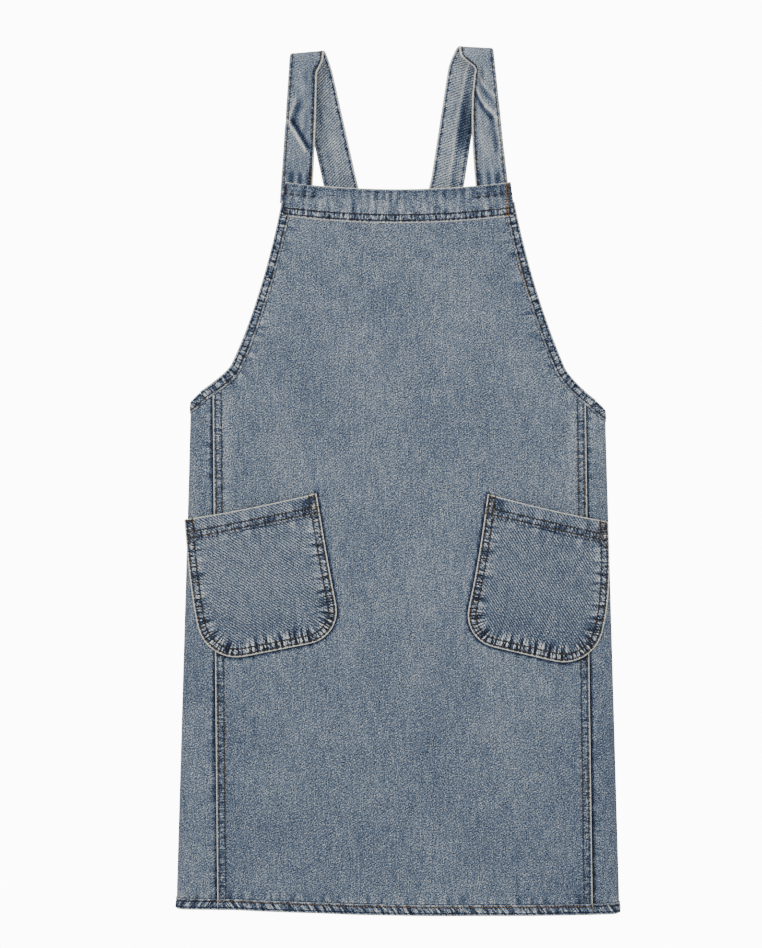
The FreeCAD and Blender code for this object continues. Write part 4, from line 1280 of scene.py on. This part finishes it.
def pocket(side):
    """A patch pocket whose mesh runs in rings from its outline to its middle."""
    outline = pocket_outline(side)
    mouth_end, mouth_start = outline[-1], outline[0]
    mouth = resampled([mouth_end, mouth_start], GRAIN)[1:-1]
    mouth[:, 1] += 1.6 * (1 - (mouth[:, 0] / POCKETS[side]["mouth"]) ** 2)
    ring = np.concatenate([outline, mouth])
    centre = np.array(POCKET_HEART)
    shares = np.concatenate([1 - np.array([0, 0.9, 2.0, 3.4, 5.0, 6.6, 8.2, 10.0, 12.0]) / centre[1],
                             np.linspace(0.82, 0.03, 26)])
    place = centre + (ring - centre)[None, :, :] * shares[:, None, None]
    a, b = place[..., 0], place[..., 1]
    sewn, along = closest(outline, a, b)
    x, z = pocket_place(side, a, b)
    run, off, strength = pocket_seams(a, b, sewn, along)
    pucker = pocket_puckers(run, off, strength)
    rise = pocket_height(side, a, b, sewn) + POCKET_PUCKER * pucker
    rows, count = a.shape
    turned_in = 0.75 * between(10.0, 6.0, sewn)
    inner_rise = rise - (POCKET_THICK + turned_in + 0.7 * between(POCKET_HEM + 1, POCKET_HEM - 1, b))

    def layer(height):
        return np.stack([x, front_face(x, z) - height, hung_z(x, z)], axis=-1).reshape(-1, 3)

    cx, cz = pocket_place(side, *centre)
    hub_y = front_face(cx, cz) - pocket_height(side, centre[0], centre[1], 70.0)
    hub_z = hung_z(cx, cz)
    outer, inner = layer(rise), layer(inner_rise)
    total = rows * count
    points = np.concatenate([outer, inner, [[cx, hub_y, hub_z], [cx, hub_y + POCKET_THICK, hub_z]]])
    index = np.arange(total).reshape(rows, count)
    nxt = np.roll(index, -1, axis=1)
    quads = np.stack([index[:-1], nxt[:-1], nxt[1:], index[1:]], axis=-1).reshape(-1, 4)
    faces = quads.tolist() + (quads[:, ::-1] + total).tolist()
    rim = np.stack([index[0], index[0] + total, nxt[0] + total, nxt[0]], axis=-1)
    faces += rim.tolist()
    faces += [[int(i), int(j), 2 * total] for i, j in zip(index[-1], nxt[-1])]
    faces += [[int(j) + total, int(i) + total, 2 * total + 1] for i, j in zip(index[-1], nxt[-1])]

    def both(values, extra):
        flat = np.asarray(values, float).reshape(total, *np.shape(values)[2:])
        return np.concatenate([flat, flat, np.repeat(np.asarray(extra, float)[None], 2, axis=0)])

    edge, _ = closest(np.concatenate([ring, ring[:1]]), a, b)
    from_inner = POCKETS[side]["mouth"] + SIDES[side] * a
    by_tack = bell(from_inner - 15.0, 5.0) * between(1, 4, b) * between(26, 14, b)
    tone = POCKET_TONE[side] + 0.12 * pucker - 0.05 * between(70, 150, b) - 0.3 * by_tack
    fields = {
        "seam": both(seam_field(run, off, strength), (0.0, 0.09, 0.0)),
        "edge": both(edge * MM, 0.08),
        "wear_and_shade": both(tone, POCKET_TONE[side]),
        "reverse": np.concatenate([np.zeros(total), np.ones(total), [0.0, 1.0]])}
    uv = np.concatenate([place.reshape(-1, 2), place.reshape(-1, 2), [centre, centre]]) * (1, -1)
    piece = make_piece(side + "_pocket_cloth", points, faces, uv, fields, POCKET_DENIM)
    outwards_first(piece)
    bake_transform(piece)
    reweigh(piece, pocket_weight(side))
    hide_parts(side + "_pocket_patch", side + "_pocket_hem")

    def on_pocket(local, lift=0.12):
        local = resampled(local, 2.0)
        x, z = pocket_place(side, local[:, 0], local[:, 1])
        gap, run = closest(outline, local[:, 0], local[:, 1])
        pucker = pocket_puckers(*pocket_seams(local[:, 0], local[:, 1], gap, run))
        height = pocket_height(side, local[:, 0], local[:, 1], gap) + POCKET_PUCKER * pucker + lift
        return np.stack([x, front_face(x, z) - height, hung_z(x, z)], axis=1)

    inward = inward_of(outline, (0.0, 60.0))
    rows = [on_pocket(outline + inward * gap) for gap in (EDGE_MARGIN, EDGE_MARGIN + NEEDLE_GAUGE)]
    for down in (POCKET_HEM, POCKET_HEM - NEEDLE_GAUGE):
        reach = POCKETS[side]["mouth"] - 1.5
        rows.append(on_pocket([(-reach, down), (reach, down)]))
    thread = topstitching(side + "_pocket_topstitching", rows, TAN_THREAD, 31)
    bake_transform(thread)
    reweigh(thread, pocket_weight(side))
    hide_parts(side + "_pocket_topstitch")
    reach = POCKETS[side]["mouth"] - EDGE_MARGIN
    tacks = []
    for sign in (-1, 1):
        for place in (reach, reach - NEEDLE_GAUGE):
            tacks.append([(sign * place, 1.2), (sign * place, POCKET_HEM)])
        for down in (1.8, 3.0):
            tacks.append([(sign * reach, down), (sign * (reach - NEEDLE_GAUGE), down)])
    lines = [on_pocket(tack) for tack in tacks]
    thread = topstitching(side + "_pocket_bartack", lines, BROWN_THREAD, 32, pitch=1.5, long=1.6)
    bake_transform(thread)
    reweigh(thread, pocket_weight(side))
    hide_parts(side + "_pocket_bartacks")


# ---------------------------------------------------------------- threads on the front


def front_threads(path, inward, rows):
    ply = FRONT_Y - BAND_LOW[1]

    def band_face(x, z):
        return front_face(x, z) - ply

    lines = []
    for row in rows:
        kept = path + inward * row
        lines.append(on_face(kept[2:-2], band_face, 0.0))

    for side, sign in SIDES.items():
        foot = sign * STRAP_FOOT[side]
        reach = STRAP_WIDE / 2 - 2.0
        near, far = foot - reach, min(foot + reach, BIB_HALF - 6.0)
        near = max(near, -BIB_HALF + 5.0)
        ends = [(place, sag_z(place, BAND_STRAP_ROW)) for place in (near, far)]
        lines.append(on_face(ends, band_face, 0.3))
    thread = topstitching("bib_band_topstitching", lines, BROWN_THREAD, 1)
    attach(thread, "front")
    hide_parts("bib_band_topstitch")
    lines = []
    for x in (-BIB_HALF + 2.4, BIB_HALF - 2.4, BIB_HALF - 5.0):
        lines.append(on_face([(x, sag_z(x, 1.5)), (x, sag_z(x, BAND_TALL - 1.0))], band_face))
    mended = ARMHOLE[(ARMHOLE[:, 1] < BIB_Z - 80.0) & (ARMHOLE[:, 1] > BIB_Z - 122.0)]
    mended = mended + inward_of(mended, FRONT_INSIDE) * (ARM_HEM - EDGE_MARGIN + 1.1)
    lines.append(on_face(mended, front_face, 0.55))
    thread = topstitching("gold_topstitching", lines, GOLD_THREAD, 5)
    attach(thread, "front")

    for side, sign in SIDES.items():
        kept = armhole_run(sign, 6.0)
        row = kept + inward_of(kept, FRONT_INSIDE) * (ARM_HEM - EDGE_MARGIN)
        thread = topstitching(side + "_armhole_topstitching", [on_face(row, front_face, 0.5)],
                              BROWN_THREAD, 2)
        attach(thread, "front")
        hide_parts(side + "_armhole_topstitch")
        lines = []
        for in_from_edge in (EDGE_MARGIN, EDGE_MARGIN + NEEDLE_GAUGE):
            ends = [(sign * (seam_edge(sign, z) - in_from_edge), z) for z in (CORNER[1] + 18.0, HEM_Z + 2.0)]
            lines.append(on_face(ends, front_face, 0.15))
        thread = topstitching(side + "_seam_topstitching", lines, TAN_THREAD, 3)
        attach(thread, "front")
        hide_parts(side + "_seam_topstitch")
    level = HEM_Z + BOTTOM_HEM - EDGE_MARGIN
    row = [(-seam_edge(-1, HEM_Z), level), (seam_edge(1, HEM_Z), level)]
    thread = topstitching("front_hem_topstitching", [on_face(row, front_face, 0.55)], GOLD_THREAD, 4)
    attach(thread, "front")
    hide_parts("front_hem_topstitch")


# ---------------------------------------------------------------- assembly

front_panel()
band_path, band_inward, band_rows = bib_band()
front_hems()
front_threads(band_path, band_inward, band_rows)
for one_side in SIDES:
    side_panel(one_side)
    side_hems(one_side)
    strap(one_side)
    tab_box(one_side)
    pocket(one_side)

# ---------------------------------------------------------------- stage, light and camera


def plain_material(name, code, roughness):
    """A matt painted sweep: an even pale surface that takes only the softest shadow."""
    material = bpy.data.materials.new(name)
    material.use_nodes = True
    shader = material.node_tree.nodes["Principled BSDF"]
    shader.inputs["Base Color"].default_value = linear(code)
    shader.inputs["Roughness"].default_value = roughness
    return material


FLOOR_Z = -1.6              # the bar is about this high
FLOOR_HALF = 6.0
floor_mesh = bpy.data.meshes.new("pale_floor")
FLOOR_CORNERS = [(x * FLOOR_HALF, y * FLOOR_HALF, FLOOR_Z) for x, y in ((-1, -1), (1, -1), (1, 1), (-1, 1))]
floor_mesh.from_pydata(FLOOR_CORNERS, [], [(0, 1, 2, 3)])
floor_mesh.materials.append(plain_material("matt_white_sweep", "#F4F4F2", 0.9))
shown("pale_floor", floor_mesh)


def area_light(name, place, target, size, power):
    """A round soft lamp that faces its target."""
    data = bpy.data.lights.new(name, "AREA")
    data.shape = "DISK"
    data.size = size
    data.energy = power
    lamp = shown(name, data)
    lamp.location = place
    lamp.rotation_euler = (Vector(target) - Vector(place)).to_track_quat("-Z", "Y").to_euler()


MIDDLE = (CAD_BOX[0] + CAD_BOX[1]) / 2
area_light("key", (-1.9, -3.0, 1.6), MIDDLE, 1.2, 70.0)
area_light("fill", (2.2, -2.6, 0.4), MIDDLE, 1.8, 25.0)

world = bpy.data.worlds.new("white_studio")
world.use_nodes = True
world_tree = world.node_tree
world_tree.nodes.clear()
seen = add_node(world_tree, "ShaderNodeLightPath").outputs["Is Camera Ray"]
WHITE = linear("#FFFFFF")
ROOM_LIGHT = 0.85
BACKDROP_LIGHT = 12.0       # only the camera sees it, so it lights nothing
lighting = add_node(world_tree, "ShaderNodeBackground", None, Color=WHITE, Strength=ROOM_LIGHT)
backdrop = add_node(world_tree, "ShaderNodeBackground", None, Color=WHITE, Strength=BACKDROP_LIGHT)
mixed = add_node(world_tree, "ShaderNodeMixShader", None, _0=seen, _1=lighting.outputs[0],
                 _2=backdrop.outputs[0])
add_node(world_tree, "ShaderNodeOutputWorld", None, Surface=mixed.outputs[0])
bpy.context.scene.world = world

VIEW_TALL = 1.0428          # the height the frame shows where the apron hangs
CAMERA_AWAY = 6.0
CAMERA_ACROSS = -0.0187     # a little to the left of the apron's middle
CAMERA_HIGH = -0.4587       # about level with the middle of its length
SENSOR = 36.0
camera_data = bpy.data.cameras.new("camera")
camera_data.sensor_width = SENSOR
camera_data.lens = SENSOR * CAMERA_AWAY / VIEW_TALL
camera = shown("camera", camera_data)
camera.location = (CAMERA_ACROSS, -CAMERA_AWAY, CAMERA_HIGH)
camera.rotation_euler = (math.pi / 2, 0.0, 0.0)
bpy.context.scene.camera = camera

# ---------------------------------------------------------------- update


bpy.context.view_layer.update()
